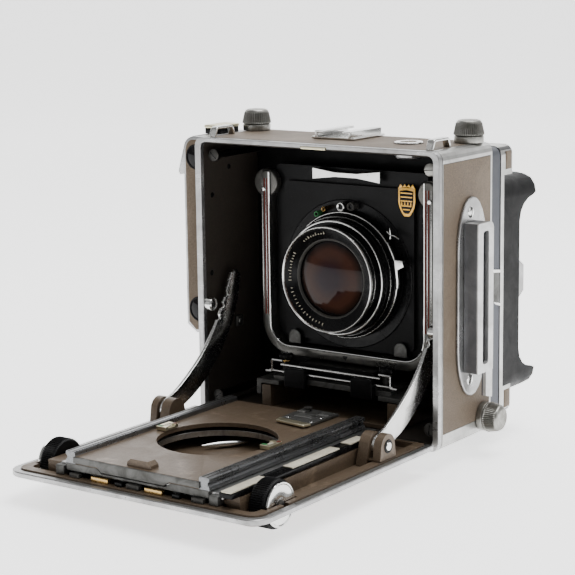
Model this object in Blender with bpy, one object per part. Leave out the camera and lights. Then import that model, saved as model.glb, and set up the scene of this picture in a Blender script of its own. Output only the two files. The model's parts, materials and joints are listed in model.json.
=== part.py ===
"""Folding-bed technical camera, opened on a table, as separate named pieces.

Sizes below are millimetres in the camera's own layout: x to the right seen from the front,
y back from the front face of the body, z up from the underside of the body. The finished
meshes are in metres, with the origin at the centre of the whole object's footprint.
"""

import math

import bmesh
import bpy
from mathutils import Matrix, Vector

MM = 0.001
GAP = 0.3

# Body
HALF_WIDTH = 89.0
HEIGHT = 178.0
TRIM_DEPTH = 4.0
SHELL_BACK = 62.0
WALL = 3.8
CORNER_RADIUS = 5.5
LEATHER = 1.1
BASE_DROP = 12.0

# Bed and its hinge
BED_FRONT = -179.5
RIM_LOW = 3.1
RIM_TOP = 6.4
RIM_WIDTH = 4.5
HINGE_Y = -4.15
HINGE_Z = 2.65
PIN_RADIUS = 1.3
FLOOR_LOW = 2.2
FLOOR_TOP = 3.7
BORDER_TOP = 7.2
TRAY_HALF = 84.2
BED_RAIL_INNER = 58.5
BED_RAIL_OUTER = 67.5
BED_RAIL_TOP = 12.5

# Focusing track
SHAFT_Y = -148.0
SHAFT_Z = 6.2
SHAFT_RADIUS = 2.2
PINION_RADIUS = 3.6
KNOB_RADIUS = 13.5
DISC_RADIUS = 11.8
LOWER_TOP = 13.6
PLATE_TOP = 18.6
RAIL_TOP = 21.2
RAIL_INNER = 43.6
RAIL_OUTER = 50.4
TRACK_FRONT = -170.0
TRACK_REAR = -20.0
HOLE_Y = -97.0
HOLE_RADIUS = 35.0

# Bed struts
STRUT_X = 77.5
STRUT_THICKNESS = 2.4
STRUT_PIVOT = (-48.0, 15.0)
STUD_POINT = (5.4, 71.0)
STRUT_TIP = (23.5, 86.0)
STRUT_BOW = math.radians(29.0)

# Lens standard
LENS_Z = 93.0
BOARD_FRONT = 39.4
UPRIGHT_INNER = 56.8
DISC_Z = 147.0
UPRIGHT_OUTER = 64.0

# Back
BACK_CENTRE_Z = 90.2
BACK_HALF_WIDTH = 88.0
BACK_HALF_HEIGHT = 84.0
CASING_BACK = 74.7
FRAME_BACK = 79.0
TURNING_RADIUS = 110.0
HOOD_MIDDLE = 103.0
HOOD_BACK = 124.0
HOOD_HALF_WIDTH = 86.0
HOOD_LOW = 15.6
HOOD_HIGH = 152.9
HORN_HEIGHT = 12.0

# Corner of the origin inside the camera's layout: middle of the footprint, at table height
LEFT_REACH = -107.5
RIGHT_REACH = 102.8
ORIGIN = Vector(((LEFT_REACH + RIGHT_REACH) / 2, (BED_FRONT + HOOD_BACK) / 2, -BASE_DROP))

SIDES = (("left", -1), ("right", 1))

FINISHES = {
    "satin_silver": ((0.68, 0.68, 0.67), 0.35, 0.9),
    "bright_chrome": ((0.82, 0.82, 0.81), 0.15, 1.0),
    "taupe_leather": ((0.34, 0.27, 0.20), 0.65, 0.0),
    "taupe_enamel": ((0.30, 0.24, 0.18), 0.5, 0.2),
    "grey_steel": ((0.36, 0.36, 0.36), 0.4, 0.9),
    "grey_alloy": ((0.42, 0.42, 0.41), 0.4, 0.9),
    "black_enamel": ((0.02, 0.02, 0.021), 0.4, 0.1),
    "black_plastic": ((0.025, 0.025, 0.027), 0.5, 0.0),
    "dark_grey": ((0.08, 0.08, 0.085), 0.5, 0.3),
    "bellows_black": ((0.015, 0.015, 0.015), 0.8, 0.0),
    "coated_glass": ((0.16, 0.07, 0.06), 0.05, 0.0),
    "window_glass": ((0.02, 0.02, 0.03), 0.1, 0.0),
    "screen_glass": ((0.55, 0.57, 0.56), 0.5, 0.0),
    "brass": ((0.62, 0.45, 0.2), 0.3, 1.0),
}


def clear_scene():
    """Remove every object that a new file starts with."""
    for item in list(bpy.data.objects):
        bpy.data.objects.remove(item)


def finish_of(name):
    """The material of a finish, made once."""
    material = bpy.data.materials.get(name)
    if material:
        return material
    colour, roughness, metallic = FINISHES[name]
    material = bpy.data.materials.new(name)
    material.use_nodes = True
    shader = material.node_tree.nodes["Principled BSDF"]
    shader.inputs["Base Color"].default_value = (*colour, 1.0)
    shader.inputs["Roughness"].default_value = roughness
    shader.inputs["Metallic"].default_value = metallic
    material.diffuse_color = (*colour, 1.0)
    return material


# ---- outlines, as lists of (u, v) points, anticlockwise ----


def arc(centre, radius, start, end, steps):
    """Points along a circular arc, angles in degrees."""
    points = []
    for step in range(steps + 1):
        angle = math.radians(start + (end - start) * step / steps)
        points.append((centre[0] + radius * math.cos(angle), centre[1] + radius * math.sin(angle)))
    return points


def circle(centre, radius, steps=28):
    return arc(centre, radius, 0, 360, steps)[:-1]


def rounded_rectangle(low, high, radii, steps=4):
    """Rectangle with rounded corners; radii go bottom right, top right, top left, bottom left."""
    if not isinstance(radii, tuple):
        radii = (radii,) * 4
    points = []
    corners = ((high[0], low[1], -90), (high[0], high[1], 0), (low[0], high[1], 90), (low[0], low[1], 180))
    for (u, v, start), radius in zip(corners, radii):
        centre = (u - math.copysign(radius, u - low[0] - 1e-9), v - math.copysign(radius, v - low[1] - 1e-9))
        points += arc(centre, radius, start, start + 90, steps)
    return points


def mirrored(points, side):
    """The outline itself on side 1, or its mirror image in u, still anticlockwise, on side -1."""
    if side > 0:
        return points
    return [(-u, v) for u, v in reversed(points)]


# ---- solids, as bmeshes in millimetres ----


def axis_point(axis, along, u, v):
    """A point from its place along an axis and its two other coordinates, in x, y, z order."""
    if axis == "x":
        return (along, u, v)
    if axis == "y":
        return (u, along, v)
    return (u, v, along)


def prism(outline, axis, low, high, hole=None):
    """Straight extrusion of an outline along an axis; a hole has as many points as the outline."""
    solid = bmesh.new()
    loops = []
    for along in (low, high):
        for points in (outline, hole) if hole else (outline,):
            loops.append([solid.verts.new(axis_point(axis, along, u, v)) for u, v in points])
    count = len(outline)
    if hole:
        outer_low, inner_low, outer_high, inner_high = loops
        rings = ((outer_low, outer_high), (outer_high, inner_high),
                 (inner_high, inner_low), (inner_low, outer_low))
    else:
        rings = (tuple(loops),)
        solid.faces.new(loops[0])
        solid.faces.new(loops[1])
    for first, second in rings:
        for index in range(count):
            after = (index + 1) % count
            solid.faces.new((first[index], first[after], second[after], second[index]))
    bmesh.ops.recalc_face_normals(solid, faces=solid.faces)
    return solid


def box(low, high):
    """Rectangular block between two corners."""
    corners = [(low[0], low[1]), (high[0], low[1]), (high[0], high[1]), (low[0], high[1])]
    return prism(corners, "z", low[2], high[2])


def rod(axis, low, high, centre, radius, steps=20):
    """Round bar along an axis, centre given in its two other coordinates."""
    return prism(circle(centre, radius, steps), axis, low, high)


def turned(profile, axis, centre, steps=32):
    """Solid of revolution about an axis; profile points are (radius, place along the axis).

    A profile that starts and ends on the axis gives a full solid, any other a ring.
    """
    solid = bmesh.new()
    rings = []
    for radius, along in profile:
        if radius == 0:
            rings.append([solid.verts.new(axis_point(axis, along, *centre))])
        else:
            around = circle(centre, radius, steps)
            rings.append([solid.verts.new(axis_point(axis, along, u, v)) for u, v in around])
    pairs = list(zip(rings, rings[1:]))
    if profile[0][0] and profile[-1][0]:
        pairs.append((rings[-1], rings[0]))
    for first, second in pairs:
        for index in range(steps):
            after = (index + 1) % steps
            corners = [ring[place % len(ring)] for ring, place in
                       ((first, index), (first, after), (second, after), (second, index))]
            unique = list(dict.fromkeys(corners))
            if len(unique) > 2:
                solid.faces.new(unique)
    bmesh.ops.recalc_face_normals(solid, faces=solid.faces)
    return solid


def mesh_of(solid, name):
    mesh = bpy.data.meshes.new(name)
    solid.to_mesh(mesh)
    solid.free()
    return mesh


def combined(name, start, add=(), cut=()):
    """Union and difference of bmeshes by exact Booleans, as one mesh in millimetres."""
    base = bpy.data.objects.new(name + "_base", mesh_of(start, name))
    bpy.context.collection.objects.link(base)
    helpers = []
    for operation, solids in (("UNION", add), ("DIFFERENCE", cut)):
        for solid in solids:
            helper = bpy.data.objects.new(name + "_tool", mesh_of(solid, name + "_tool"))
            bpy.context.collection.objects.link(helper)
            helper.display_type = "WIRE"
            helper.hide_render = True
            modifier = base.modifiers.new(operation.lower(), "BOOLEAN")
            modifier.operation = operation
            modifier.solver = "EXACT"
            modifier.object = helper
            helpers.append(helper)
    graph = bpy.context.evaluated_depsgraph_get()
    mesh = bpy.data.meshes.new_from_object(base.evaluated_get(graph))
    mesh.name = name
    for item in helpers + [base]:
        bpy.data.objects.remove(item)
    return mesh


def add_piece(name, mesh, finish, pivot=None, round_piece=False, bevel=0.0):
    """Make the object of a piece: mesh in millimetres, origin on its joint's axis if it moves."""
    if isinstance(mesh, bmesh.types.BMesh):
        mesh = mesh_of(mesh, name)
    origin = Vector(pivot) if pivot else Vector((0, 0, 0))
    mesh.transform(Matrix.Scale(MM, 4) @ Matrix.Translation(-origin))
    mesh.name = name
    mesh.materials.clear()
    mesh.materials.append(finish_of(finish))
    piece = bpy.data.objects.new(name, mesh)
    piece.location = (origin - ORIGIN) * MM
    bpy.context.collection.objects.link(piece)
    if round_piece:
        mesh.shade_smooth()
        mesh.set_sharp_from_angle(angle=math.radians(35))
    if bevel:
        modifier = piece.modifiers.new("soft_edges", "BEVEL")
        modifier.width = bevel * MM
        modifier.segments = 1
        modifier.limit_method = "ANGLE"
        modifier.angle_limit = math.radians(50)
    return piece


# ---- body ----


def build_body():
    """Shell, front trim, leathers and the plate that the camera stands on."""
    outer = rounded_rectangle((-HALF_WIDTH, 0), (HALF_WIDTH, HEIGHT), CORNER_RADIUS)
    wall_inner = rounded_rectangle((-HALF_WIDTH + WALL, WALL), (HALF_WIDTH - WALL, HEIGHT - WALL), 3.0)
    shell = prism(outer, "y", TRIM_DEPTH + GAP, SHELL_BACK, wall_inner)
    pocket = LEATHER + 0.2
    pocket_front, pocket_back = 4.7, 60.2
    button_x, button_y = 48.8, 32.0
    cuts = [
        box((HALF_WIDTH - pocket, pocket_front, 10), (95, pocket_back, 170.5)),
        box((-95, pocket_front, 10), (-HALF_WIDTH + pocket, pocket_back, 170.5)),
        box((-82, pocket_front, HEIGHT - pocket), (82, pocket_back, 190)),
        rod("z", HEIGHT - 2.6, 190, (button_x, button_y), 8.8, 24),
        rod("z", 160, 190, (button_x, button_y), 3.5, 24),
    ]
    add_piece("body_shell", combined("body_shell", shell, cut=cuts), "satin_silver")

    trim_inner = rounded_rectangle((-84.6, 3.4), (84.6, 175.3), 4.0)
    trim = prism(outer, "y", 0, TRIM_DEPTH, trim_inner)
    striker_notch = box((-8, -1, 174.6), (10.5, 1.2, 176.2))
    add_piece("front_trim", combined("front_trim", trim, cut=[striker_notch]), "satin_silver", bevel=0.5)

    leather_low = HEIGHT - LEATHER
    top = box((-81.7, 5.0, leather_low), (81.7, 59.9, HEIGHT + 0.1))
    button_well = rod("z", 170, 190, (button_x, button_y), 9.0, 24)
    add_piece("top_leather", combined("top_leather", top, cut=[button_well]), "taupe_leather")
    side = box((HALF_WIDTH - LEATHER, 5.0, 10.3), (HALF_WIDTH + 0.1, 59.9, 170.2))
    add_piece("right_leather", side, "taupe_leather")

    profile = [(0, 169.4), (7.4, 169.4), (8.2, 170.2), (8.2, 173.4), (3.1, 173.4), (3.1, 177.0),
               (8.4, 177.0), (8.4, 178.4), (8.0, 178.8), (0, 178.8)]
    button = turned(profile, "z", (button_x, button_y), 24)
    add_piece("bed_release_button", button, "satin_silver", (button_x, button_y, HEIGHT), True)

    plate = prism(rounded_rectangle((-54, 4.6), (54, 74), 8), "z", -BASE_DROP, -GAP)
    bushing_hole = rod("z", -20, 5, (0, 40), 8.0, 28)
    add_piece("base_plate", combined("base_plate", plate, cut=[bushing_hole]), "satin_silver", bevel=0.8)
    profile = [(0, -0.7), (7.6, -0.7), (7.6, -11.7), (4.8, -11.7), (4.8, -3.0), (0, -3.0)]
    bushing = turned(profile, "z", (0, 40), 24)
    add_piece("tripod_bushing", bushing, "grey_steel", round_piece=True)


def build_rangefinder():
    """Housing on the left side with its two round windows."""
    face, back = 8.0, 58.0
    outline = [(-89.3, 51), (-89.3, 177.2)] + arc((-96.5, 169.2), 8.0, 90, 180, 4) + [(-104.5, 57.5), (-97, 51)]
    housing = prism(outline, "y", face, back)
    cover = prism(rounded_rectangle((14, 149), (50, 169), 4), "x", LEFT_REACH, -104)
    windows = (("upper", (-96.2, 165.0), 6.3), ("lower", (-96.2, 66.0), 6.3))
    recesses = [rod("y", face - 2, face + 1.6, centre, radius, 24) for _, centre, radius in windows]
    mesh = combined("rangefinder_housing", housing, add=[cover], cut=recesses)
    add_piece("rangefinder_housing", mesh, "satin_silver", bevel=0.6)
    for label, centre, radius in windows:
        glass = rod("y", face + 0.4, face + 1.3, centre, radius - GAP, 24)
        add_piece(f"rangefinder_window_{label}", glass, "window_glass", round_piece=True)


def build_top_fittings():
    """Strap lugs and accessory shoe on top of the body."""
    foot = HEIGHT + 0.4
    outline = [(5.0, foot), (7.4, foot), (8.8, 182.6), (23.4, 182.6), (24.8, foot), (27.2, foot),
               (25.4, 183.6), (24.4, 184.2), (7.8, 184.2), (6.8, 183.6)]
    for label, side in SIDES:
        x = 79.0 * side
        add_piece(f"strap_lug_{label}", prism(outline, "x", x - 2.2, x + 2.2), "bright_chrome", bevel=0.5)
    left, right = -15.6, 10.8
    flange, lip, wall, margin = 6.2, 1.3, 1.8, 2.6
    base_top = foot + 1.2
    shoe_top = 183.4
    outline = [(left - margin, foot), (right + margin, foot), (right + margin, base_top), (right, base_top),
               (right, shoe_top), (right - flange, shoe_top), (right - flange, shoe_top - lip),
               (right - wall, shoe_top - lip), (right - wall, base_top), (left + wall, base_top),
               (left + wall, shoe_top - lip), (left + flange, shoe_top - lip), (left + flange, shoe_top),
               (left, shoe_top), (left, base_top), (left - margin, base_top)]
    add_piece("accessory_shoe", prism(outline, "y", 26.5, 61.5), "bright_chrome", bevel=0.3)


def build_side_grip():
    """Plate and slotted bracket on the right side that take a hand grip."""
    middle = 35.5
    outline = []
    for centre_z, start in ((58.0, 180), (118.5, 0)):
        for step in range(13):
            angle = math.radians(start + 180 * step / 12)
            outline.append((middle + 16.5 * math.cos(angle), centre_z + 30.0 * math.sin(angle)))
    add_piece("grip_plate", prism(outline, "x", HALF_WIDTH + 0.4, 91.2), "satin_silver", bevel=0.4)
    block = prism(rounded_rectangle((24.5, 44), (43.0, 134), (1, 4, 1, 1)), "x", 91.5, 101.0)
    tab = prism([(35.5, 29), (43.0, 27), (43.0, 46), (35.5, 46)], "x", 97.5, 100.6)
    slot = prism(rounded_rectangle((30.6, 49), (37.4, 129), 2.0), "x", 94.0, 110.0)
    mesh = combined("grip_bracket", block, add=[tab], cut=[slot])
    add_piece("grip_bracket", mesh, "satin_silver", bevel=0.4)


def build_lock_knobs():
    """Four screw knobs that lock the sliding back."""
    base_radius, top_radius = 8.9, 7.4

    def profile(foot, direction):
        heights = ((0, 0), (base_radius, 0), (base_radius, 3.6), (base_radius - 0.6, 4.2), (base_radius, 4.8),
                   (top_radius, 12.4), (top_radius - 1.2, 13.5), (0, 13.5))
        return [(radius, foot + direction * height) for radius, height in heights]

    for label, side in SIDES:
        x = 78.5 * side
        knob = turned(profile(HEIGHT + 0.4, 1), "z", (x, 56.0 - 3.8), 28)
        add_piece(f"top_lock_knob_{label}", knob, "grey_steel", (x, 56.0 - 3.8, HEIGHT), True)
        face = (RIGHT_REACH - 13.5) * side
        knob = turned(profile(face, side), "x", (52.0, 11.6), 28)
        add_piece(f"side_lock_knob_{label}", knob, "grey_steel", (face, 52.0, 11.6), True)


def build_inner_fittings():
    """Track that the lens standard rests on, the strut bosses and the bed's hinge pin."""
    legs = [box((x - 3.4, 15, WALL + GAP), (x + 3.4, 59, 21.0)) for x in (-47.0, 47.0)]
    bridge = box((-46, 15, WALL + GAP), (46, 59, 7.0))
    add_piece("inner_track", combined("inner_track", bridge, add=legs), "taupe_enamel")
    for label, side in SIDES:
        outer, tip = 84.3, 79.3
        profile = [(0, outer), (4.2, outer), (4.2, tip + 1.6), (3.3, tip + 0.4), (1.8, tip), (0, tip)]
        profile = [(radius, along * side) for radius, along in profile]
        boss = turned(profile, "x", STUD_POINT, 24)
        add_piece(f"strut_boss_{label}", boss, "bright_chrome", round_piece=True)
    pin = rod("x", -76, 76, (HINGE_Y, HINGE_Z), PIN_RADIUS, 16)
    knuckles = []
    for side in (-1, 1):
        low, high = sorted((50.6 * side, 75.0 * side))
        knuckles.append(rod("x", low, high, (HINGE_Y, HINGE_Z), 3.2, 20))
        knuckles.append(box((low, HINGE_Y, 0.3), (high, -GAP, 5.0)))
    add_piece("hinge_pin", combined("hinge_pin", pin, add=knuckles), "grey_steel")


# ---- bed ----


def build_bed():
    """Tray with its rails, silver rim, leather cover and the black bar of the distance scales."""
    hinge = (0, HINGE_Y, HINGE_Z)
    rear = -8.0
    front = BED_FRONT + RIM_WIDTH + GAP
    border_outer = rounded_rectangle((-TRAY_HALF, front), (TRAY_HALF, rear), (7, 1, 1, 7))
    floor = prism(border_outer, "z", FLOOR_LOW, FLOOR_TOP)
    border_inner = rounded_rectangle((-78.5, front + 5.5), (78.5, rear - 3.0), (4, 1, 1, 4))
    border = prism(border_outer, "z", FLOOR_TOP - 0.5, BORDER_TOP, border_inner)
    rails = []
    for side in (-1, 1):
        foot = FLOOR_TOP - 0.5
        outline = [(BED_RAIL_INNER, foot), (BED_RAIL_OUTER, foot), (BED_RAIL_OUTER, BED_RAIL_TOP),
                   (BED_RAIL_INNER, BED_RAIL_TOP), (BED_RAIL_INNER, 9.7), (BED_RAIL_INNER - 3.0, 9.7),
                   (BED_RAIL_INNER - 3.0, 7.6), (BED_RAIL_INNER, 7.6)]
        rails.append(prism(mirrored(outline, side), "y", -166.0, -14.0))
    barrel = rod("x", -50, 50, (HINGE_Y, HINGE_Z), 3.2, 20)
    web = box((-50, rear - 3, FLOOR_LOW), (50, HINGE_Y, 4.6))
    cuts = [
        rod("x", -60, 60, (HINGE_Y, HINGE_Z), PIN_RADIUS + GAP, 16),
        rod("x", -90, 90, (SHAFT_Y, SHAFT_Z), SHAFT_RADIUS + GAP, 16),
    ]
    for side in (-1, 1):
        low, high = sorted((68.2 * side, 81.4 * side))
        cuts.append(box((low, SHAFT_Y - 14.2, -5), (high, SHAFT_Y + 14.2, 12.0)))
        low, high = sorted((48.6 * side, 54.6 * side))
        cuts.append(box((low, SHAFT_Y - 4.4, 1.5), (high, SHAFT_Y + 4.4, 7.4)))
    mesh = combined("bed_tray", floor, add=[border, web, barrel] + rails, cut=cuts)
    add_piece("bed_tray", mesh, "taupe_enamel", hinge)

    inner_half = HALF_WIDTH - RIM_WIDTH
    rim_rear = -5.5
    outer = [(-HALF_WIDTH, rim_rear)] + arc((-HALF_WIDTH + 11, BED_FRONT + 11), 11, 180, 270, 5)
    outer += arc((HALF_WIDTH - 11, BED_FRONT + 11), 11, 270, 360, 5) + [(HALF_WIDTH, rim_rear)]
    inner = [(inner_half, rim_rear)] + arc((inner_half - 7.2, BED_FRONT + RIM_WIDTH + 7.2), 7.2, 0, -90, 5)
    inner += arc((-inner_half + 7.2, BED_FRONT + RIM_WIDTH + 7.2), 7.2, 270, 180, 5) + [(-inner_half, rim_rear)]
    add_piece("bed_rim", prism(outer + inner, "z", RIM_LOW, RIM_TOP), "satin_silver", hinge, bevel=0.5)

    cover = prism(rounded_rectangle((-83, -173.5), (83, -9.5), (6, 2, 2, 6)), "z", 0.9, FLOOR_LOW - GAP)
    cuts = []
    for side in (-1, 1):
        low, high = sorted((68.2 * side, 81.4 * side))
        cuts.append(box((low, SHAFT_Y - 14.2, -5), (high, SHAFT_Y + 14.2, 12.0)))
    add_piece("bed_leather", combined("bed_leather", cover, cut=cuts), "taupe_leather", hinge)

    bar = box((BED_RAIL_INNER + 0.2, -172.5, BED_RAIL_TOP + GAP), (BED_RAIL_OUTER - 0.3, -40, 16.0))
    add_piece("scale_bar", bar, "black_enamel", hinge, bevel=0.4)


def build_strut_brackets():
    """Forked brackets on the bed, each with the pin that its strut turns on."""
    pivot_y, pivot_z = STRUT_PIVOT
    foot = BORDER_TOP + GAP
    floor = FLOOR_TOP + GAP
    rounded = arc(STRUT_PIVOT, 7.3, 20, 160, 6)
    inner_cheek = [(-59, floor), (-37, floor)] + rounded
    outer_cheek = [(-56.5, foot), (-39.5, foot)] + rounded
    for label, side in SIDES:
        low, high = sorted((69.2 * side, 75.9 * side))
        cheek = prism(inner_cheek, "x", low, high)
        low, high = sorted((79.1 * side, TRAY_HALF * side))
        other = prism(outer_cheek, "x", low, high)
        low, high = sorted((70.0 * side, 84.0 * side))
        bridge = box((low, -56.5, foot), (high, -39.5, 8.4))
        pin = rod("x", *sorted((70.0 * side, 84.6 * side)), STRUT_PIVOT, 2.5, 20)
        mesh = combined(f"strut_bracket_{label}", cheek, add=[other, bridge, pin])
        add_piece(f"strut_bracket_{label}", mesh, "taupe_enamel", (0, pivot_y, pivot_z))


def strut_centre_line():
    """Points, directions and half widths along the arc from the pivot to the tip."""
    start = Vector(STRUT_PIVOT)
    chord = Vector(STRUT_TIP) - start
    chord_angle = math.atan2(chord.y, chord.x)
    radius = chord.length / (2 * math.sin(STRUT_BOW))
    centre = start + radius * Vector((-math.sin(chord_angle - STRUT_BOW), math.cos(chord_angle - STRUT_BOW)))
    half_widths = (6.0, 6.2, 6.9, 7.3, 7.3, 7.3, 7.3, 7.3, 7.2, 6.4, 5.2)
    places = []
    for step, half_width in enumerate(half_widths):
        angle = chord_angle - STRUT_BOW + 2 * STRUT_BOW * step / (len(half_widths) - 1)
        point = centre + radius * Vector((math.sin(angle), -math.cos(angle)))
        places.append((point, angle, half_width))
    return places


def build_struts():
    """Bowed struts with notches in the upper edge that catch on the boss on the body."""
    places = strut_centre_line()
    upper = [(p.x - w * math.sin(a), p.y + w * math.cos(a)) for p, a, w in places]
    lower = [(p.x + w * math.sin(a), p.y - w * math.cos(a)) for p, a, w in places]
    first_angle = math.degrees(places[0][1])
    last_point, last_angle, last_width = places[-1]
    eye = arc(STRUT_PIVOT, 6.0, first_angle + 90, first_angle + 270, 8)[1:-1]
    tip_turn = math.degrees(last_angle)
    nose = arc((last_point.x, last_point.y), last_width, tip_turn - 90, tip_turn + 90, 4)[1:-1]
    outline = lower + nose + list(reversed(upper)) + eye
    for label, side in SIDES:
        low, high = sorted(((STRUT_X - STRUT_THICKNESS / 2) * side, (STRUT_X + STRUT_THICKNESS / 2) * side))
        bar = prism(outline, "x", low, high)
        cuts = [rod("x", *sorted((70 * side, 85 * side)), STRUT_PIVOT, 2.5 + GAP, 20)]
        for index in (7, 8, 9):
            edge = Vector(upper[index])
            cuts.append(rod("x", *sorted((70 * side, 85 * side)), (edge.x, edge.y), 2.0, 12))
        mesh = combined(f"strut_{label}", bar, cut=cuts)
        add_piece(f"strut_{label}", mesh, "bright_chrome", (0, *STRUT_PIVOT))


def build_focus_drive():
    """Cross shaft with two pinions and end discs, and the knurled knobs on it."""
    centre = (SHAFT_Y, SHAFT_Z)
    pivot = (0, SHAFT_Y, SHAFT_Z)
    shaft = rod("x", -80.4, 80.4, centre, SHAFT_RADIUS, 16)
    added = []
    teeth = 12
    for side in (-1, 1):
        added.append(rod("x", *sorted((79.4 * side, 80.6 * side)), centre, DISC_RADIUS, 32))
        gear = []
        for step in range(teeth * 2):
            angle = math.radians(360 * (step + 0.5) / (teeth * 2))
            radius = PINION_RADIUS if step % 2 else PINION_RADIUS - 0.8
            gear.append((SHAFT_Y + radius * math.cos(angle), SHAFT_Z + radius * math.sin(angle)))
        added.append(prism(gear, "x", *sorted((49.5 * side, 53.7 * side))))
    add_piece("focus_shaft", combined("focus_shaft", shaft, add=added), "bright_chrome", pivot, True)
    for label, side in SIDES:
        inner, outer = 69.0 * side, 79.1 * side
        profile = [(SHAFT_RADIUS + 0.3, inner), (KNOB_RADIUS - 0.8, inner), (KNOB_RADIUS, inner + 0.8 * side),
                   (KNOB_RADIUS, outer - 0.8 * side), (KNOB_RADIUS - 0.8, outer), (SHAFT_RADIUS + 0.3, outer)]
        knob = turned(profile, "x", centre, 32)
        add_piece(f"focus_knob_{label}", knob, "black_enamel", pivot, True)


def build_track():
    """Lower and upper sliding tracks with the fittings that ride on them."""
    front, rear = TRACK_FRONT, TRACK_REAR
    lower = prism(rounded_rectangle((-58.1, front + 2), (58.1, rear + 4), 1.0, 2), "z", 10.1, LOWER_TOP)
    trim = [box((-60, front - 5, 12.0), (-55.6, 0, 20)), box((55.6, front - 5, 12.0), (60, 0, 20))]
    hole = rod("z", 0, 40, (0, HOLE_Y), HOLE_RADIUS + 1.5, 36)
    add_piece("lower_track", combined("lower_track", lower, cut=[hole] + trim), "grey_alloy")

    plate_half = RAIL_INNER + 1.0
    plate = box((-plate_half, front, 14.0), (plate_half, rear, PLATE_TOP))
    hollow = box((-RAIL_INNER + 1, front + 4, 10), (RAIL_INNER - 1, rear - 3, 16.0))
    added = []
    for side in (-1, 1):
        groove = RAIL_OUTER - 1.0
        outline = [(RAIL_INNER, 14.0), (RAIL_OUTER, 14.0), (RAIL_OUTER, 16.2), (groove, 17.0), (groove, 18.4),
                   (RAIL_OUTER, 19.2), (RAIL_OUTER, RAIL_TOP - 0.6), (RAIL_OUTER - 0.6, RAIL_TOP),
                   (RAIL_INNER + 0.6, RAIL_TOP), (RAIL_INNER, RAIL_TOP - 0.6)]
        added.append(prism(mirrored(outline, side), "y", front, rear))
    wedge = [(-8, PLATE_TOP - 1), (9, PLATE_TOP - 1), (9, 20.6), (6.5, 22.6), (-5.5, 22.6), (-8, 20.6)]
    tab = prism(wedge, "y", front + 2.5, front + 9.0)
    hole = rod("z", 0, 40, (0, HOLE_Y), HOLE_RADIUS, 40)
    mesh = combined("upper_track", plate, add=added + [tab], cut=[hollow, hole])
    add_piece("upper_track", mesh, "taupe_enamel")

    cam = [(6, -44.0), (31, -46.5), (32, -20), (8, -19), (5, -30)]
    add_piece("rangefinder_cam", prism(cam, "z", PLATE_TOP + GAP, 20.8), "satin_silver", bevel=0.3)

    for label, side in SIDES:
        x = 37.4 * side
        foot = PLATE_TOP + GAP
        leaf = box((x - 3.5, -102.5, foot), (x + 3.5, -90.5, foot + 2.4))
        notch = box((x - 5 - 4.2 * side, -99.5, foot + 1.4), (x + 5 - 4.2 * side, -93.5, 25))
        mesh = combined(f"infinity_stop_{label}", leaf, cut=[notch])
        add_piece(f"infinity_stop_{label}", mesh, "brass", (40.9 * side, -96.5, foot))


# ---- lens standard ----


def build_standard():
    """Base that slides on the track, its squeeze grips, swing block, knobs and U-shaped frame."""
    shoe_inner, shoe_outer = RAIL_OUTER + 0.5, RAIL_OUTER + 4.0
    base = box((-44, 18.9, 23.4), (44, 47, 27.2))
    added = []
    for side in (-1, 1):
        low, high = sorted((37.0 * side, shoe_outer * side))
        added.append(box((low, 14.8, 21.7), (high, 47, 24.6)))
        low, high = sorted((shoe_inner * side, shoe_outer * side))
        added.append(box((low, 14.8, 14.4), (high, 47, 22.5)))
    add_piece("standard_base", combined("standard_base", base, add=added), "dark_grey", bevel=0.3)

    knob_x, knob_y = 37.6, 24.0
    for label, side in SIDES:
        low, high = sorted((17.0 * side, 33.0 * side))
        paddle = prism(rounded_rectangle((low, 21.4), (high, 34.0), (0.8, 2.6, 2.6, 0.8), 3), "y", 14.4, 18.5)
        add_piece(f"clamp_grip_{label}", paddle, "black_enamel", (25.0 * side, 17, 24), bevel=0.5)
        profile = [(0, 27.6), (2.6, 27.6), (2.6, 36.8), (4.2, 36.8), (4.4, 37.4),
                   (4.4, 40.4), (3.8, 41.0), (0, 41.0)]
        knob = turned(profile, "z", (knob_x * side, knob_y), 24)
        add_piece(f"standard_knob_{label}", knob, "black_enamel", (knob_x * side, knob_y, 27.6), True)

    block = box((-28, 24, 27.6), (28, 45, 36.0))
    add_piece("swing_block", block, "black_enamel", (0, 40, 30), bevel=0.6)

    low, high = 36.5, 155.0
    outer = [(-UPRIGHT_OUTER, high)] + arc((-UPRIGHT_OUTER + 22, low + 22), 22, 180, 270, 6)
    outer += arc((UPRIGHT_OUTER - 22, low + 22), 22, 270, 360, 6) + [(UPRIGHT_OUTER, high)]
    inner = [(UPRIGHT_INNER, high)] + arc((UPRIGHT_INNER - 14, low + 7.4 + 14), 14, 0, -90, 6)
    inner += arc((-UPRIGHT_INNER + 14, low + 7.4 + 14), 14, 270, 180, 6) + [(-UPRIGHT_INNER, high)]
    frame = prism(outer + inner, "y", 35.0, 45.0)
    discs = [rod("y", 36.5, 41.9, (61.0 * side, DISC_Z), 8.9, 28) for side in (-1, 1)]
    add_piece("u_frame", combined("u_frame", frame, add=discs), "grey_steel", (0, 40, 30), bevel=0.5)


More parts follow.
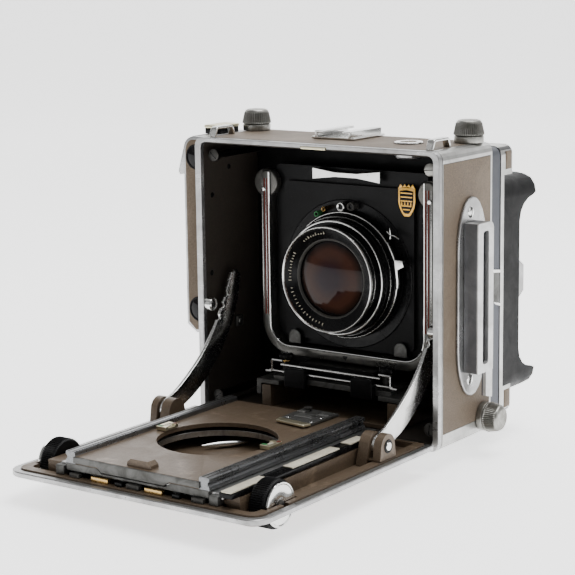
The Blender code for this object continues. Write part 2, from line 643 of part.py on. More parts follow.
def build_lens_carrier():
    """Carrier that rises in the U-shaped frame, its latch, the lens board and the bellows."""
    outline = rounded_rectangle((-52.0, 44.7), (52.0, 159.0), (13, 3, 3, 13), 5)
    outline = [(u * (56.3 / 52.0), v) for u, v in outline]
    opening = rounded_rectangle((-42, 52), (42, 136), 6, 5)
    carrier = prism(outline, "y", 42.2, 47.5, opening)
    feet = []
    for side in (-1, 1):
        low, high = sorted((35.2 * side, 44.2 * side))
        feet.append(box((low, 37.4, 44.9), (high, 43.0, 48.2)))
        hump = [(low, 45.5), (high, 45.5)] + arc(((low + high) / 2, 49.4), 4.5, 0, 180, 6)
        feet.append(prism(hump, "y", 37.4, 39.1))
    add_piece("lens_carrier", combined("lens_carrier", carrier, add=feet), "black_enamel")

    half, waist, middle = 25.0, 8.0, 155.2
    outline = [(-half, middle - 3.7), (-waist, middle - 1.6), (waist, middle - 1.6), (half, middle - 3.7),
               (half, middle + 3.7), (waist, middle + 1.6), (-waist, middle + 1.6), (-half, middle + 3.7)]
    add_piece("board_latch", prism(outline, "y", 36.9, 39.0), "bright_chrome", (0, 38, middle), bevel=0.3)

    board_outline = rounded_rectangle((-48, 48.6), (48, 149.0), 3, 7)
    light_hole = [(24.0 * math.cos(a), LENS_Z + 24.0 * math.sin(a)) for a in
                  (math.atan2(v - LENS_Z, u) for u, v in board_outline)]
    board = prism(board_outline, "y", BOARD_FRONT, 41.8, light_hole)
    add_piece("lens_board", board, "black_enamel")

    solid = bmesh.new()
    folds = 4
    loops = []
    for step in range(folds * 2 + 1):
        along = 48.0 + (61.6 - 48.0) * step / (folds * 2)
        half = 54.0 if step % 2 else 50.5
        points = rounded_rectangle((-half, 92 - half), (half, 92 + half), 6, 2)
        loops.append([solid.verts.new((u, along, v)) for u, v in points])
    for step in reversed(range(folds * 2 + 1)):
        along = 48.0 + (61.6 - 48.0) * step / (folds * 2)
        half = 52.6 if step % 2 else 49.1
        points = rounded_rectangle((-half, 92 - half), (half, 92 + half), 6, 2)
        loops.append([solid.verts.new((u, along, v)) for u, v in points])
    for first, second in zip(loops, loops[1:] + loops[:1]):
        for index in range(len(first)):
            after = (index + 1) % len(first)
            solid.faces.new((first[index], first[after], second[after], second[index]))
    bmesh.ops.recalc_face_normals(solid, faces=solid.faces)
    add_piece("bellows", solid, "bellows_black")


def build_lens():
    """Shutter, speed ring, cocking lever, lens barrel and its front glass."""
    centre = (0, LENS_Z)
    pivot = (0, 30, LENS_Z)
    housing = [(23, 39.1), (39.6, 39.1), (40.0, 38.0), (40.0, 34.2), (39.2, 33.4),
               (37.0, 27.2), (36.4, 26.6), (23, 26.6)]
    add_piece("shutter_housing", turned(housing, "y", centre, 48), "black_enamel", round_piece=True)
    ring = [(31.0, 26.3), (36.0, 26.3), (36.6, 25.6), (36.6, 23.4), (35.9, 22.6), (31.0, 22.6)]
    add_piece("speed_ring", turned(ring, "y", centre, 48), "black_enamel", pivot, True)
    barrel = [(24.0, 26.3), (30.6, 26.3), (30.6, 19.4), (33.2, 17.4), (33.2, 14.4), (32.7, 14.2), (31.8, 14.2),
              (26.0, 18.6), (24.0, 19.2)]
    add_piece("lens_barrel", turned(barrel, "y", centre, 48), "bright_chrome", round_piece=True)
    glass = [(0, 18.0), (8, 18.3), (15, 19.2), (20, 20.4), (23.6, 21.6), (23.6, 25.4), (0, 25.4)]
    add_piece("front_glass", turned(glass, "y", centre, 40), "coated_glass", round_piece=True)
    inner_radius, outer_radius = 40.4, 42.2
    low, high = -6, 34
    outline = arc(centre, outer_radius, low, 10, 3) + arc(centre, 47.2, 12, 17, 1)
    outline += arc(centre, outer_radius, 19, high, 3) + arc(centre, inner_radius, high, low, 8)
    add_piece("cocking_lever", prism(outline, "y", 30.2, 32.8), "bright_chrome", (0, 31, LENS_Z))


# ---- back ----


def build_back():
    """Casing and frame that slide back on four rods, with the turning screen back behind them."""
    half, low, high = BACK_HALF_WIDTH, BACK_CENTRE_Z - BACK_HALF_HEIGHT, BACK_CENTRE_Z + BACK_HALF_HEIGHT
    outer = rounded_rectangle((-half + 0.4, low + 0.4), (half - 0.4, high - 0.4), 5)
    inner = rounded_rectangle((-84, low + 2.6), (84, high - 2.6), 3)
    add_piece("rear_casing", prism(outer, "y", SHELL_BACK + GAP, CASING_BACK, inner), "dark_grey")

    outer = rounded_rectangle((-half, low), (half, high), 5.5)
    opening = rounded_rectangle((-62, BACK_CENTRE_Z - 52), (62, BACK_CENTRE_Z + 52), 5)
    frame = prism(outer, "y", CASING_BACK + GAP, 89.0, opening)
    clearing = turned([(0, FRAME_BACK), (TURNING_RADIUS, FRAME_BACK), (TURNING_RADIUS, 95), (0, 95)], "y",
                      (0, BACK_CENTRE_Z), 48)
    rods = []
    for x in (-79.0, 79.0):
        for z in (11.6, 166.5):
            rods.append(rod("y", 8.0, 76.0, (x, z), 2.4, 16))
            rods.append(rod("y", 6.4, 9.4, (x, z), 3.9, 20))
    mesh = combined("rear_frame", frame, add=rods, cut=[clearing])
    add_piece("rear_frame", mesh, "satin_silver")

    low, high = HOOD_LOW, HOOD_HIGH
    front = FRAME_BACK + GAP
    sweep = HOOD_BACK - HOOD_MIDDLE
    half_profile = [(HOOD_BACK, low + 3.0), (HOOD_BACK, low + HORN_HEIGHT)] + [
        (HOOD_MIDDLE + (sweep - 2.0) * (1 - math.sin(math.radians(t))),
         low + HORN_HEIGHT + 1.5 + 15.0 * (1 - math.cos(math.radians(t))))
        for t in (5, 25, 45, 65, 90)]
    mirrored_profile = [(y, low + high - z) for y, z in reversed(half_profile)]
    outline = [(front, low), (HOOD_BACK - 3.0, low)] + half_profile + mirrored_profile
    outline += [(HOOD_BACK - 3.0, high), (front, high)]
    body = prism(outline, "x", -HOOD_HALF_WIDTH, HOOD_HALF_WIDTH)
    window = prism(rounded_rectangle((-60, BACK_CENTRE_Z - 48), (60, BACK_CENTRE_Z + 48), 3), "y", 70, 130)
    step = prism(rounded_rectangle((-63, BACK_CENTRE_Z - 51), (63, BACK_CENTRE_Z + 51), 3), "y", 84.0, 88.0)
    corners = []
    for sx in (-1, 1):
        for sz in (-1, 1):
            x, z = HOOD_HALF_WIDTH * sx, HOOD_HIGH if sz > 0 else HOOD_LOW
            size = 12.0
            points = [(x + sx, z + sz), (x - size * sx, z + sz), (x - size * sx, z)]
            points += [(x - size * sx + size * sx * math.sin(math.radians(t)),
                        z - size * sz + size * sz * math.cos(math.radians(t))) for t in (22.5, 45, 67.5)]
            points += [(x, z - size * sz), (x + sx, z - size * sz)]
            corners.append(prism(points, "y", 70, 130))
    mesh = combined("focusing_back", body, cut=[window, step] + corners)
    centre = (0, FRAME_BACK, BACK_CENTRE_Z)
    add_piece("focusing_back", mesh, "black_plastic", centre)

    outline = rounded_rectangle((-62.7, BACK_CENTRE_Z - 50.7), (62.7, BACK_CENTRE_Z + 50.7), 3)
    screen = prism(outline, "y", 84.3, 87.7)
    add_piece("ground_glass", screen, "screen_glass", centre)

    foot, middle = HOOD_MIDDLE + 0.4, 87.8
    profile = [(foot, middle - 13.2), (foot + 7.6, middle - 8.2),
               (foot + 7.6, middle + 8.2), (foot, middle + 13.2)]
    catch = prism(profile, "x", 69.0, 85.0)
    add_piece("screen_catch", catch, "bright_chrome", (77, foot, middle), bevel=0.3)


def main():
    clear_scene()
    build_body()
    build_rangefinder()
    build_top_fittings()
    build_side_grip()
    build_lock_knobs()
    build_inner_fittings()
    build_bed()
    build_strut_brackets()
    build_struts()
    build_focus_drive()
    build_track()
    build_standard()
    build_lens_carrier()
    build_lens()
    build_back()


main()
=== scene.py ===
import json
import math

import bmesh
import bpy
import numpy as np
from mathutils import Matrix, Vector


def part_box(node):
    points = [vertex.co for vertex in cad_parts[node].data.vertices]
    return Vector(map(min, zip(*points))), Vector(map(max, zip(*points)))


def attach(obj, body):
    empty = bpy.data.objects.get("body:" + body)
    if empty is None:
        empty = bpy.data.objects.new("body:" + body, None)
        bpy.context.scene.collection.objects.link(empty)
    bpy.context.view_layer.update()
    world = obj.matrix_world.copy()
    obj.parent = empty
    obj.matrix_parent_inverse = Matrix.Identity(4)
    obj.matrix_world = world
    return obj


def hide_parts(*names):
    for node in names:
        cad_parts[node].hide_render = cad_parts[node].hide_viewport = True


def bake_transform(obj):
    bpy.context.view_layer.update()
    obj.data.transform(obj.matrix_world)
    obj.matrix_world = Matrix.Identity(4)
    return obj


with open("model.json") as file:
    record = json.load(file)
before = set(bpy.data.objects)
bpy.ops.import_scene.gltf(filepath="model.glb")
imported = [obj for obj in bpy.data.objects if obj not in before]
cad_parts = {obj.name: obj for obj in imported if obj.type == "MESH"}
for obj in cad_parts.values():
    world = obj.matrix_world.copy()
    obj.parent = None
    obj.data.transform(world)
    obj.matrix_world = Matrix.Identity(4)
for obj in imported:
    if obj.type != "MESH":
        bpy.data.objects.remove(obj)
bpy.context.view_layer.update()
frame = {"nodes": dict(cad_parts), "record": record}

# Places are in millimetres from the middle of the body's front bottom edge: x right, y back, z up
mm = 0.001
shellLow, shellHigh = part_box("body_shell")
trimLow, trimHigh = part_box("front_trim")
startPoint = np.array([(shellLow[0] + shellHigh[0]) / 2, trimLow[1], shellLow[2]])


bodyOf = {node: body for body, nodes in frame["record"]["behaviour"]["bodies"].items() for node in nodes}


def along(axis, u, v, w):
    # u and v across, w along the axis, put in x, y, z order
    order = {"x": (w, u, v), "y": (u, w, v), "z": (u, v, w)}[axis]
    return np.stack(np.broadcast_arrays(*order), -1).astype(float)


def gridShape(grid, wrapRows=False, caps=True):
    # Rows of points joined by quads, every row closed on itself; flat caps shut the two end rows
    rows, columns = grid.shape[:2]
    index = np.arange(rows * columns).reshape(rows, columns)
    ringed = np.hstack([index, index[:, :1]])
    if wrapRows:
        ringed = np.vstack([ringed, ringed[:1]])
    quads = np.stack([ringed[:-1, :-1], ringed[:-1, 1:], ringed[1:, 1:], ringed[1:, :-1]],
                     -1).reshape(-1, 4)
    points = grid.reshape(-1, 3)
    a, b, c, d = (points[quads[:, k]] for k in range(4))
    volume = np.einsum("ij,ij->", a, np.cross(b, c)) + np.einsum("ij,ij->", a, np.cross(c, d))
    faces = quads.tolist()
    if caps and not wrapRows:
        for row, turn in ((index[0], -1), (index[-1], 1)):
            fan = points[row[::turn]]
            volume += np.einsum("ij,ij->", np.broadcast_to(fan[0], fan[1:-1].shape),
                                np.cross(fan[1:-1], fan[2:]))
            faces.append(row[::turn].tolist())
    if volume < 0:
        faces = [face[::-1] for face in faces]
    return points, faces


def joined(shapes):
    # Several shapes as one: later faces count on from the earlier points
    points = np.concatenate([p for p, f in shapes])
    starts = np.cumsum([0] + [len(p) for p, f in shapes[:-1]])
    faces = [[i + int(start) for i in face] for (p, f), start in zip(shapes, starts) for face in f]
    return points, faces


def edgeSteps(rounding, count=4):
    # A quarter circle from a flat face to the side wall: (inset, depth) pairs
    angle = np.linspace(0, math.pi / 2, count)
    return rounding * (1 - np.sin(angle)), rounding * (1 - np.cos(angle))


def roundedBox(width, height, radius, count=6):
    # Outline of a rounded rectangle about (0, 0): four quarter circles, anticlockwise
    angle = np.linspace(0, math.pi / 2, count)
    points = []
    for quarter, (sx, sy) in enumerate(((1, -1), (1, 1), (-1, 1), (-1, -1))):
        turned = angle + (quarter - 1) * math.pi / 2
        points.append(np.stack([sx * (width / 2 - radius) + radius * np.cos(turned),
                                sy * (height / 2 - radius) + radius * np.sin(turned)], -1))
    return np.concatenate(points)


def arcPoints(centre, radius, start, end, count=10):
    # Points round a circle from one angle to another, in degrees
    angle = np.radians(np.linspace(start, end, count))
    return np.stack([centre[0] + radius * np.cos(angle), centre[1] + radius * np.sin(angle)], -1)


def oriented(outline):
    # The outline run anticlockwise, told by the sign of its area
    outline = np.asarray(outline, float)
    after = np.roll(outline, -1, 0)
    area = (outline[:, 0] * after[:, 1] - after[:, 0] * outline[:, 1]).sum()
    return outline if area > 0 else outline[::-1]


def band(path, half, nose=8, dent=0.0):
    # An outline that keeps a given distance from a path on both sides, with round ends
    path = np.asarray(path, float)
    way = np.gradient(path, axis=0)
    way /= np.linalg.norm(way, axis=1, keepdims=True)
    half = np.broadcast_to(np.asarray(half, float), len(path))[:, None]
    side = np.stack([-way[:, 1], way[:, 0]], -1) * half
    turns = np.radians(np.degrees(np.arctan2(way[[0, -1], 1], way[[0, -1], 0]))[:, None]
                       + np.array([np.linspace(90, 270, nose), np.linspace(-90, 90, nose)]))
    upper = side * (1 - np.broadcast_to(dent, len(path))[:, None] / half)
    ends = [path[k] + half[k] * np.stack([np.cos(turns[k]), np.sin(turns[k])], -1) for k in (0, -1)]
    return oriented(np.concatenate([(path + upper)[1:-1][::-1], ends[0], (path - side)[1:-1], ends[1]]))


def outlineNormals(outline):
    # Unit vectors that point out of an anticlockwise outline, from each point's neighbours
    ahead = np.roll(outline, -1, 0) - outline
    behind = outline - np.roll(outline, 1, 0)
    ahead /= np.maximum(np.linalg.norm(ahead, axis=1, keepdims=True), 1e-9)
    behind /= np.maximum(np.linalg.norm(behind, axis=1, keepdims=True), 1e-9)
    way = ahead + behind
    normal = np.stack([way[:, 1], -way[:, 0]], -1)
    normal /= np.maximum(np.linalg.norm(normal, axis=1, keepdims=True), 1e-9)
    mitre = np.clip((normal * np.stack([ahead[:, 1], -ahead[:, 0]], -1)).sum(1, keepdims=True), 0.5, 1)
    return normal / mitre


def plate(outline, axis, low, high, rounding=0.3):
    # An outline carried along an axis; near both ends it shrinks round a quarter circle
    outline = oriented(outline)
    normal = outlineNormals(outline)
    inset, depth = edgeSteps(rounding)
    insets = np.concatenate([inset, inset[::-1]])
    places = np.concatenate([low + depth, (high - depth)[::-1]])
    rows = outline[None] - insets[:, None, None] * normal[None]
    return gridShape(along(axis, rows[..., 0], rows[..., 1], places[:, None]))


def hollowPlate(outer, inner, axis, low, high, rounding=0.3):
    # Two outlines with the same number of points, joined round a rounded four-sided section
    outer, inner = np.asarray(outer, float), np.asarray(inner, float)
    outerWay, innerWay = outlineNormals(outer), outlineNormals(inner)
    inset, depth = edgeSteps(rounding)
    rows = np.concatenate([outer[None] - i * outerWay[None] for i in inset]
                          + [outer[None] - i * outerWay[None] for i in inset[::-1]]
                          + [inner[None] + i * innerWay[None] for i in inset]
                          + [inner[None] + i * innerWay[None] for i in inset[::-1]])
    places = np.concatenate([low + depth, (high - depth)[::-1], high - depth, (low + depth)[::-1]])
    return gridShape(along(axis, rows[..., 0], rows[..., 1], places[:, None]), wrapRows=True)


def block(low, high, rounding=0.4, corner=None):
    # A box with rounded edges: its rounded outline in x and y carried up z
    low, high = np.minimum(low, high), np.maximum(low, high)
    size = high - low
    corner = min(corner or max(rounding, 0.05), size[0] / 2 - 0.001, size[1] / 2 - 0.001)
    outline = roundedBox(size[0], size[1], corner) + (low[:2] + size[:2] / 2)
    return plate(outline, "z", low[2], high[2], rounding)


def turned(profile, axis, centre, steps=96, ring=False, ripple=None):
    # A profile of (radius, place) pairs turned about an axis. A ripple (count, depth, low, high) adds
    # depth * cos(count * angle) to the radius of the points whose place is between low and high.
    profile = np.asarray(profile, float)
    angle = np.linspace(0, 2 * math.pi, steps, endpoint=False)
    radius = np.repeat(profile[:, :1], steps, 1)
    if ripple:
        count, depth, low, high = ripple
        inside = (profile[:, 1] >= min(low, high)) & (profile[:, 1] <= max(low, high))
        radius = radius + inside[:, None] * depth * np.cos(count * angle)[None]
    grid = along(axis, centre[0] + radius * np.cos(angle), centre[1] + radius * np.sin(angle),
                 profile[:, 1:])
    return gridShape(grid, wrapRows=ring)


def softProfile(corners, rounding=0.3, count=4):
    # A profile whose inner corners are cut round: each corner gives a short curve between its two sides
    corners = np.asarray(corners, float)
    before, after = corners[:-2] - corners[1:-1], corners[2:] - corners[1:-1]
    reachBefore = np.minimum(np.linalg.norm(before, axis=1) * 0.45, rounding)[:, None, None]
    reachAfter = np.minimum(np.linalg.norm(after, axis=1) * 0.45, rounding)[:, None, None]
    wayBefore = (before / np.linalg.norm(before, axis=1, keepdims=True))[:, None]
    wayAfter = (after / np.linalg.norm(after, axis=1, keepdims=True))[:, None]
    t = np.linspace(0, 1, count)[None, :, None]
    middle = corners[1:-1][:, None]
    bent = middle + wayBefore * reachBefore * (1 - t) ** 2 + wayAfter * reachAfter * t ** 2
    return np.concatenate([corners[:1], bent.reshape(-1, 2), corners[-1:]])


def tube(path, radius, steps=12):
    # A circle carried along a path, standing square to it; the ring's first spoke keeps near +z or +x
    path = np.asarray(path, float)
    tangent = np.gradient(path, axis=0)
    tangent /= np.linalg.norm(tangent, axis=1, keepdims=True)
    guide = np.where(np.abs(tangent[:, 2:]) < 0.9, np.array([[0, 0, 1.0]]), np.array([[1.0, 0, 0]]))
    first = np.cross(tangent, guide)
    first /= np.linalg.norm(first, axis=1, keepdims=True)
    second = np.cross(tangent, first)
    angle = np.linspace(0, 2 * math.pi, steps, endpoint=False)
    radius = np.broadcast_to(np.asarray(radius, float), len(path))[:, None, None]
    spokes = first[:, None] * np.cos(angle)[None, :, None] + second[:, None] * np.sin(angle)[None, :, None]
    return gridShape(path[:, None] + radius * spokes)


def screwHead(centre, axis, radius=2.2, height=0.7, outward=1):
    # A domed head, turned about its axis
    face = centre[{"x": 0, "y": 1, "z": 2}[axis]]
    across = {"x": (centre[1], centre[2]), "y": (centre[0], centre[2]), "z": (centre[0], centre[1])}[axis]
    t = np.linspace(0, math.pi / 2, 6)
    dome = np.stack([radius * (1 - 0.35 * np.sin(t) ** 2) * np.cos(t * 0.98),
                     face + outward * height * np.sin(t)], -1)
    dome = np.concatenate([[[radius, face - outward * 0.3]], dome])
    return turned(dome, axis, across, 32)


def slotShadeBar(centre, axis, radius, height, slotTurn=20.0, outward=1):
    # A screw head's slot as a thin dark bar that stands 0.05 mm proud of the dome: painted shade for the
    # recess
    place = {"x": 0, "y": 1, "z": 2}[axis]
    low = np.array([-radius * 0.8, -0.28])
    outline = np.array([low, [-low[0], low[1]], -low, [low[0], -low[1]]])
    turn = math.radians(slotTurn)
    spin = np.array([[math.cos(turn), -math.sin(turn)], [math.sin(turn), math.cos(turn)]])
    outline = outline @ spin.T + np.delete(np.asarray(centre, float), place)
    face = centre[place]
    ends = sorted((face + outward * height * 0.2, face + outward * (height + 0.04)))
    return plate(outline, axis, ends[0], ends[1], 0.02)


def makePiece(name, shapes, materials, body, replaces=(), sharp=35):
    # One object from one or more shapes, each with its own material, riding on a CAD body
    if not isinstance(materials, (list, tuple)):
        materials = [materials] * len(shapes)
    points, faces = joined(shapes)
    mesh = bpy.data.meshes.new(name)
    mesh.from_pydata(((points * mm) + startPoint).tolist(), [], faces)
    unique = list(dict.fromkeys(materials))
    for material in unique:
        mesh.materials.append(material)
    counts = [len(shape[1]) for shape in shapes]
    order = np.repeat([unique.index(material) for material in materials], counts)
    mesh.polygons.foreach_set("material_index", order.astype(np.int32))
    mesh.validate()
    mesh.shade_smooth()
    mesh.set_sharp_from_angle(angle=math.radians(sharp))
    piece = bpy.data.objects.new(name, mesh)
    bpy.context.collection.objects.link(piece)
    if body:
        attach(piece, body)
    if replaces:
        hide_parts(*replaces)
    return piece


def softened(node, material, width=0.4, segments=3, angle=32):
    # A merged copy of a CAD node whose edges are rounded off; it stands for the node
    work = bmesh.new()
    work.from_mesh(frame["nodes"][node].data)
    bmesh.ops.remove_doubles(work, verts=work.verts, dist=0.000002)
    bmesh.ops.dissolve_limit(work, angle_limit=math.radians(0.5), verts=work.verts, edges=work.edges)
    mesh = bpy.data.meshes.new(node + "_soft")
    work.to_mesh(mesh)
    work.free()
    mesh.materials.clear()
    mesh.materials.append(material)
    mesh.shade_smooth()
    mesh.set_sharp_from_angle(angle=math.radians(angle))
    piece = bpy.data.objects.new(node + "_soft", mesh)
    bpy.context.collection.objects.link(piece)
    edges = piece.modifiers.new("roundedEdges", "BEVEL")
    edges.width = width * mm
    edges.segments = segments
    edges.limit_method = "ANGLE"
    edges.angle_limit = math.radians(angle)
    edges.harden_normals = True
    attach(piece, bodyOf[node])
    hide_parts(node)
    return piece


class Wiring:
    def __init__(self, name):
        self.material = bpy.data.materials.new(name)
        self.material.use_nodes = True
        self.tree = self.material.node_tree
        self.shader = self.tree.nodes["Principled BSDF"]
        self.coords = self.add("ShaderNodeTexCoord").outputs["Object"]

    def add(self, kind, settings=None, **inputs):
        node = self.tree.nodes.new(kind)
        for key, value in (settings or {}).items():
            setattr(node, key, value)
        for key, value in inputs.items():
            self.put(node.inputs[int(key[1:])] if key[0] == "i" and key[1:].isdigit() else
                     node.inputs[key.replace("_", " ")], value)
        return node

    def put(self, socket, value):
        if isinstance(value, bpy.types.NodeSocket):
            self.tree.links.new(value, socket)
        else:
            socket.default_value = value

    def noise(self, scale, detail=4.0, roughness=0.6, vector=None, distortion=0.0):
        node = self.add("ShaderNodeTexNoise", Vector=vector or self.coords, Scale=scale, Detail=detail,
                        Roughness=roughness, Distortion=distortion)
        return node.outputs["Fac"]

    def cells(self, scale, feature="F1", vector=None, output="Distance"):
        return self.add("ShaderNodeTexVoronoi", {"feature": feature}, Vector=vector or self.coords,
                        Scale=scale).outputs[output]

    def ramp(self, value, low, high, start=0.0, end=1.0):
        return self.add("ShaderNodeMapRange", i0=value, i1=low, i2=high, i3=start, i4=end).outputs[0]

    def blend(self, factor, first, second):
        node = self.add("ShaderNodeMix", {"data_type": "RGBA"})
        self.put(node.inputs[0], factor)
        self.put(node.inputs[6], first)
        self.put(node.inputs[7], second)
        return node.outputs[2]

    def sums(self, operation, first, second=0.0, third=None):
        node = self.add("ShaderNodeMath", {"operation": operation}, i0=first, i1=second)
        if third is not None:
            self.put(node.inputs[2], third)
        return node.outputs[0]

    def stretched(self, scale):
        return self.add("ShaderNodeMapping", Vector=self.coords, Scale=scale).outputs[0]

    def bump(self, height, strength, distance):
        return self.add("ShaderNodeBump", Strength=strength, Distance=distance, Height=height).outputs[0]

    def split(self):
        return self.add("ShaderNodeSeparateXYZ", Vector=self.coords).outputs

    def inside(self, value, low, high):
        # 1 where the value is between the two limits
        above = self.sums("GREATER_THAN", value, low)
        below = self.sums("LESS_THAN", value, high)
        return self.sums("MULTIPLY", above, below)

    def finish(self, **inputs):
        for key, value in inputs.items():
            self.put(self.shader.inputs[key.replace("_", " ")], value)
        return self.material


def colour(red, green, blue):
    # Screen colour, 0 to 255, to the linear colour that a shader takes
    value = np.array([red, green, blue]) / 255
    linear = np.where(value < 0.04045, value / 12.92, ((value + 0.055) / 1.055) ** 2.4)
    return (*[float(channel) for channel in linear], 1.0)


leatherLook = {"base": colour(104, 88, 69), "deep": colour(68, 56, 42), "pale": colour(124, 107, 86),
               "grainScale": 1500.0, "poreScale": 950.0, "grainDepth": 0.00012, "roughness": 0.62}


def leatherMaterial(name, look):
    # Fine pebbled hide: cell pores and fibre noise in the height, worn pale and dark patches in the colour
    w = Wiring(name)
    pores = w.cells(look["poreScale"], "SMOOTH_F1")
    fibre = w.noise(look["grainScale"], 6, 0.7)
    patches = w.noise(28, 5, 0.65, distortion=0.6)
    height = w.sums("MULTIPLY_ADD", fibre, 0.6, pores)
    tone = w.blend(w.ramp(fibre, 0.35, 0.65), look["deep"], look["base"])
    tone = w.blend(w.ramp(patches, 0.5, 0.75, 0, 0.55), tone, look["pale"])
    tone = w.blend(w.ramp(pores, 0.35, 0.75, 0, 0.35), tone, look["deep"])
    rough = w.ramp(patches, 0.3, 0.8, look["roughness"] + 0.08, look["roughness"] - 0.12)
    return w.finish(Base_Color=tone, Roughness=rough, Normal=w.bump(height, 0.55, look["grainDepth"]),
                    Sheen_Weight=0.12, Specular_IOR_Level=0.35)


enamelLook = {"base": colour(106, 90, 72), "deep": colour(72, 60, 48), "pale": colour(134, 117, 98)}


def enamelMaterial(name, look, railFrom=None):
    # Hammered enamel: soft dimples in the height; with railFrom, bare ground steel beyond that x distance
    w = Wiring(name)
    dimples = w.cells(520, "SMOOTH_F1")
    speckle = w.noise(2200, 3, 0.6)
    wear = w.noise(60, 6, 0.7, distortion=0.4)
    tone = w.blend(w.ramp(speckle, 0.3, 0.7), look["deep"], look["base"])
    tone = w.blend(w.ramp(wear, 0.58, 0.72, 0, 0.7), tone, look["pale"])
    rough = w.ramp(wear, 0.3, 0.7, 0.52, 0.34)
    height = w.sums("MULTIPLY_ADD", speckle, 0.35, dimples)
    metal = 0.25
    if railFrom:
        across = w.sums("ABSOLUTE", w.sums("SUBTRACT", w.split()["X"], float(startPoint[0])))
        bare = w.sums("GREATER_THAN", across, railFrom * mm)
        streak = w.noise(1.0, 4, 0.6, vector=w.stretched((1800.0, 60.0, 1800.0)))
        steel = w.blend(w.ramp(streak, 0.3, 0.7), colour(104, 105, 107), colour(134, 135, 136))
        tone = w.blend(bare, tone, steel)
        metal = w.sums("MULTIPLY_ADD", bare, 0.7, 0.25)
        rough = w.sums("MULTIPLY_ADD", bare, -0.14, rough)
    return w.finish(Base_Color=tone, Roughness=rough, Normal=w.bump(height, 0.4, 0.0002), Metallic=metal)


silverLook = {"base": colour(178, 178, 178), "dull": colour(132, 131, 129), "nick": colour(84, 80, 74),
              "roughness": 0.3, "streaks": (60.0, 1500.0, 1500.0)}


def silverMaterial(name, look, metallic=0.92):
    # Satin plate: fine drawn streaks, dull cloudy patches, and a scatter of dark nicks
    w = Wiring(name)
    streak = w.noise(1.0, 4, 0.6, vector=w.stretched(look["streaks"]))
    cloud = w.noise(45, 5, 0.65, distortion=0.5)
    nicks = w.cells(330, "F1")
    gate = w.noise(90, 3, 0.5)
    spot = w.sums("MULTIPLY", w.ramp(nicks, 0.16, 0.1), w.ramp(gate, 0.56, 0.64))
    tone = w.blend(w.ramp(cloud, 0.35, 0.75), look["base"], look["dull"])
    tone = w.blend(w.sums("MULTIPLY", spot, 0.75), tone, look["nick"])
    rough = w.sums("ADD", w.ramp(cloud, 0.3, 0.8, look["roughness"] - 0.06, look["roughness"] + 0.14),
                   w.ramp(streak, 0.3, 0.7, -0.04, 0.06))
    height = w.sums("MULTIPLY_ADD", spot, -1.5, w.sums("MULTIPLY", streak, 0.25))
    return w.finish(Base_Color=tone, Roughness=rough, Metallic=metallic,
                    Normal=w.bump(height, 0.25, 0.0001))


blackLook = {"base": colour(24, 24, 25), "pale": colour(58, 57, 56), "roughness": 0.36, "grain": 1200.0,
             "specular": 0.12}


def blackMaterial(name, look, metallic=0.0):
    # Black lacquer: faint orange peel, dusty patches that are paler and duller
    w = Wiring(name)
    peel = w.noise(look["grain"], 3, 0.6)
    dust = w.noise(70, 6, 0.72, distortion=0.7)
    flecks = w.ramp(w.cells(700, "F1"), 0.09, 0.05)
    tone = w.blend(w.ramp(dust, 0.5, 0.78, 0, 0.5), look["base"], look["pale"])
    tone = w.blend(w.sums("MULTIPLY", flecks, w.ramp(dust, 0.5, 0.6, 0, 0.22)), tone, colour(150, 148, 142))
    rough = w.ramp(dust, 0.35, 0.75, look["roughness"] - 0.06, look["roughness"] + 0.2)
    return w.finish(Base_Color=tone, Roughness=rough, Metallic=metallic, Normal=w.bump(peel, 0.12, 0.0001),
                    Specular_IOR_Level=look["specular"])


def steelMaterial(name, base, dull, roughness=0.28, metallic=1.0):
    # Ground steel: streaks along y, with darker stains
    w = Wiring(name)
    streak = w.noise(1.0, 3, 0.6, vector=w.stretched((1600.0, 70.0, 1600.0)))
    stain = w.noise(80, 5, 0.7, distortion=0.8)
    tone = w.blend(w.ramp(stain, 0.42, 0.72), base, dull)
    tone = w.blend(w.ramp(streak, 0.25, 0.75, 0, 0.3), tone, dull)
    rough = w.ramp(stain, 0.3, 0.75, roughness - 0.05, roughness + 0.2)
    return w.finish(Base_Color=tone, Roughness=rough, Metallic=metallic,
                    Normal=w.bump(streak, 0.12, 0.00008))


def chromeMaterial(name, tint=(222, 222, 220), roughness=0.1):
    # Bright plate with a little haze and hairline scratches
    w = Wiring(name)
    haze = w.noise(150, 4, 0.6)
    hair = w.noise(1.0, 2, 0.5, vector=w.stretched((300.0, 2600.0, 900.0)))
    rough = w.sums("ADD", w.ramp(haze, 0.3, 0.8, roughness, roughness + 0.12),
                   w.ramp(hair, 0.62, 0.7, 0, 0.15))
    tone = w.blend(w.ramp(haze, 0.4, 0.8, 0, 0.35), colour(*tint), colour(168, 166, 162))
    return w.finish(Base_Color=tone, Roughness=rough, Metallic=1.0)


def bellowsMaterial():
    w = Wiring("bellowsCloth")
    weave = w.noise(1700, 4, 0.7)
    tone = w.blend(w.ramp(weave, 0.3, 0.8), colour(14, 14, 14), colour(34, 33, 32))
    return w.finish(Base_Color=tone, Roughness=w.ramp(weave, 0.3, 0.7, 0.72, 0.86),
                    Normal=w.bump(weave, 0.3, 0.00012))


def glassMaterial(name, inner, edge, roughness=0.03):
    # Coated glass seen as a dark mirror: colour drifts from the rim to the middle on a soft noise
    w = Wiring(name)
    drift = w.noise(26, 2, 0.5)
    tone = w.blend(w.ramp(drift, 0.35, 0.65), inner, edge)
    return w.finish(Base_Color=tone, Roughness=roughness, Specular_IOR_Level=0.16)


def screenMaterial():
    # Ground glass: pale, fine-frosted
    w = Wiring("groundScreen")
    frost = w.noise(2600, 3, 0.6)
    cloud = w.noise(20, 3, 0.5)
    tone = w.blend(w.ramp(cloud, 0.3, 0.7), colour(150, 154, 152), colour(178, 181, 178))
    return w.finish(Base_Color=tone, Roughness=w.ramp(frost, 0.3, 0.7, 0.35, 0.55),
                    Normal=w.bump(frost, 0.15, 0.00005))


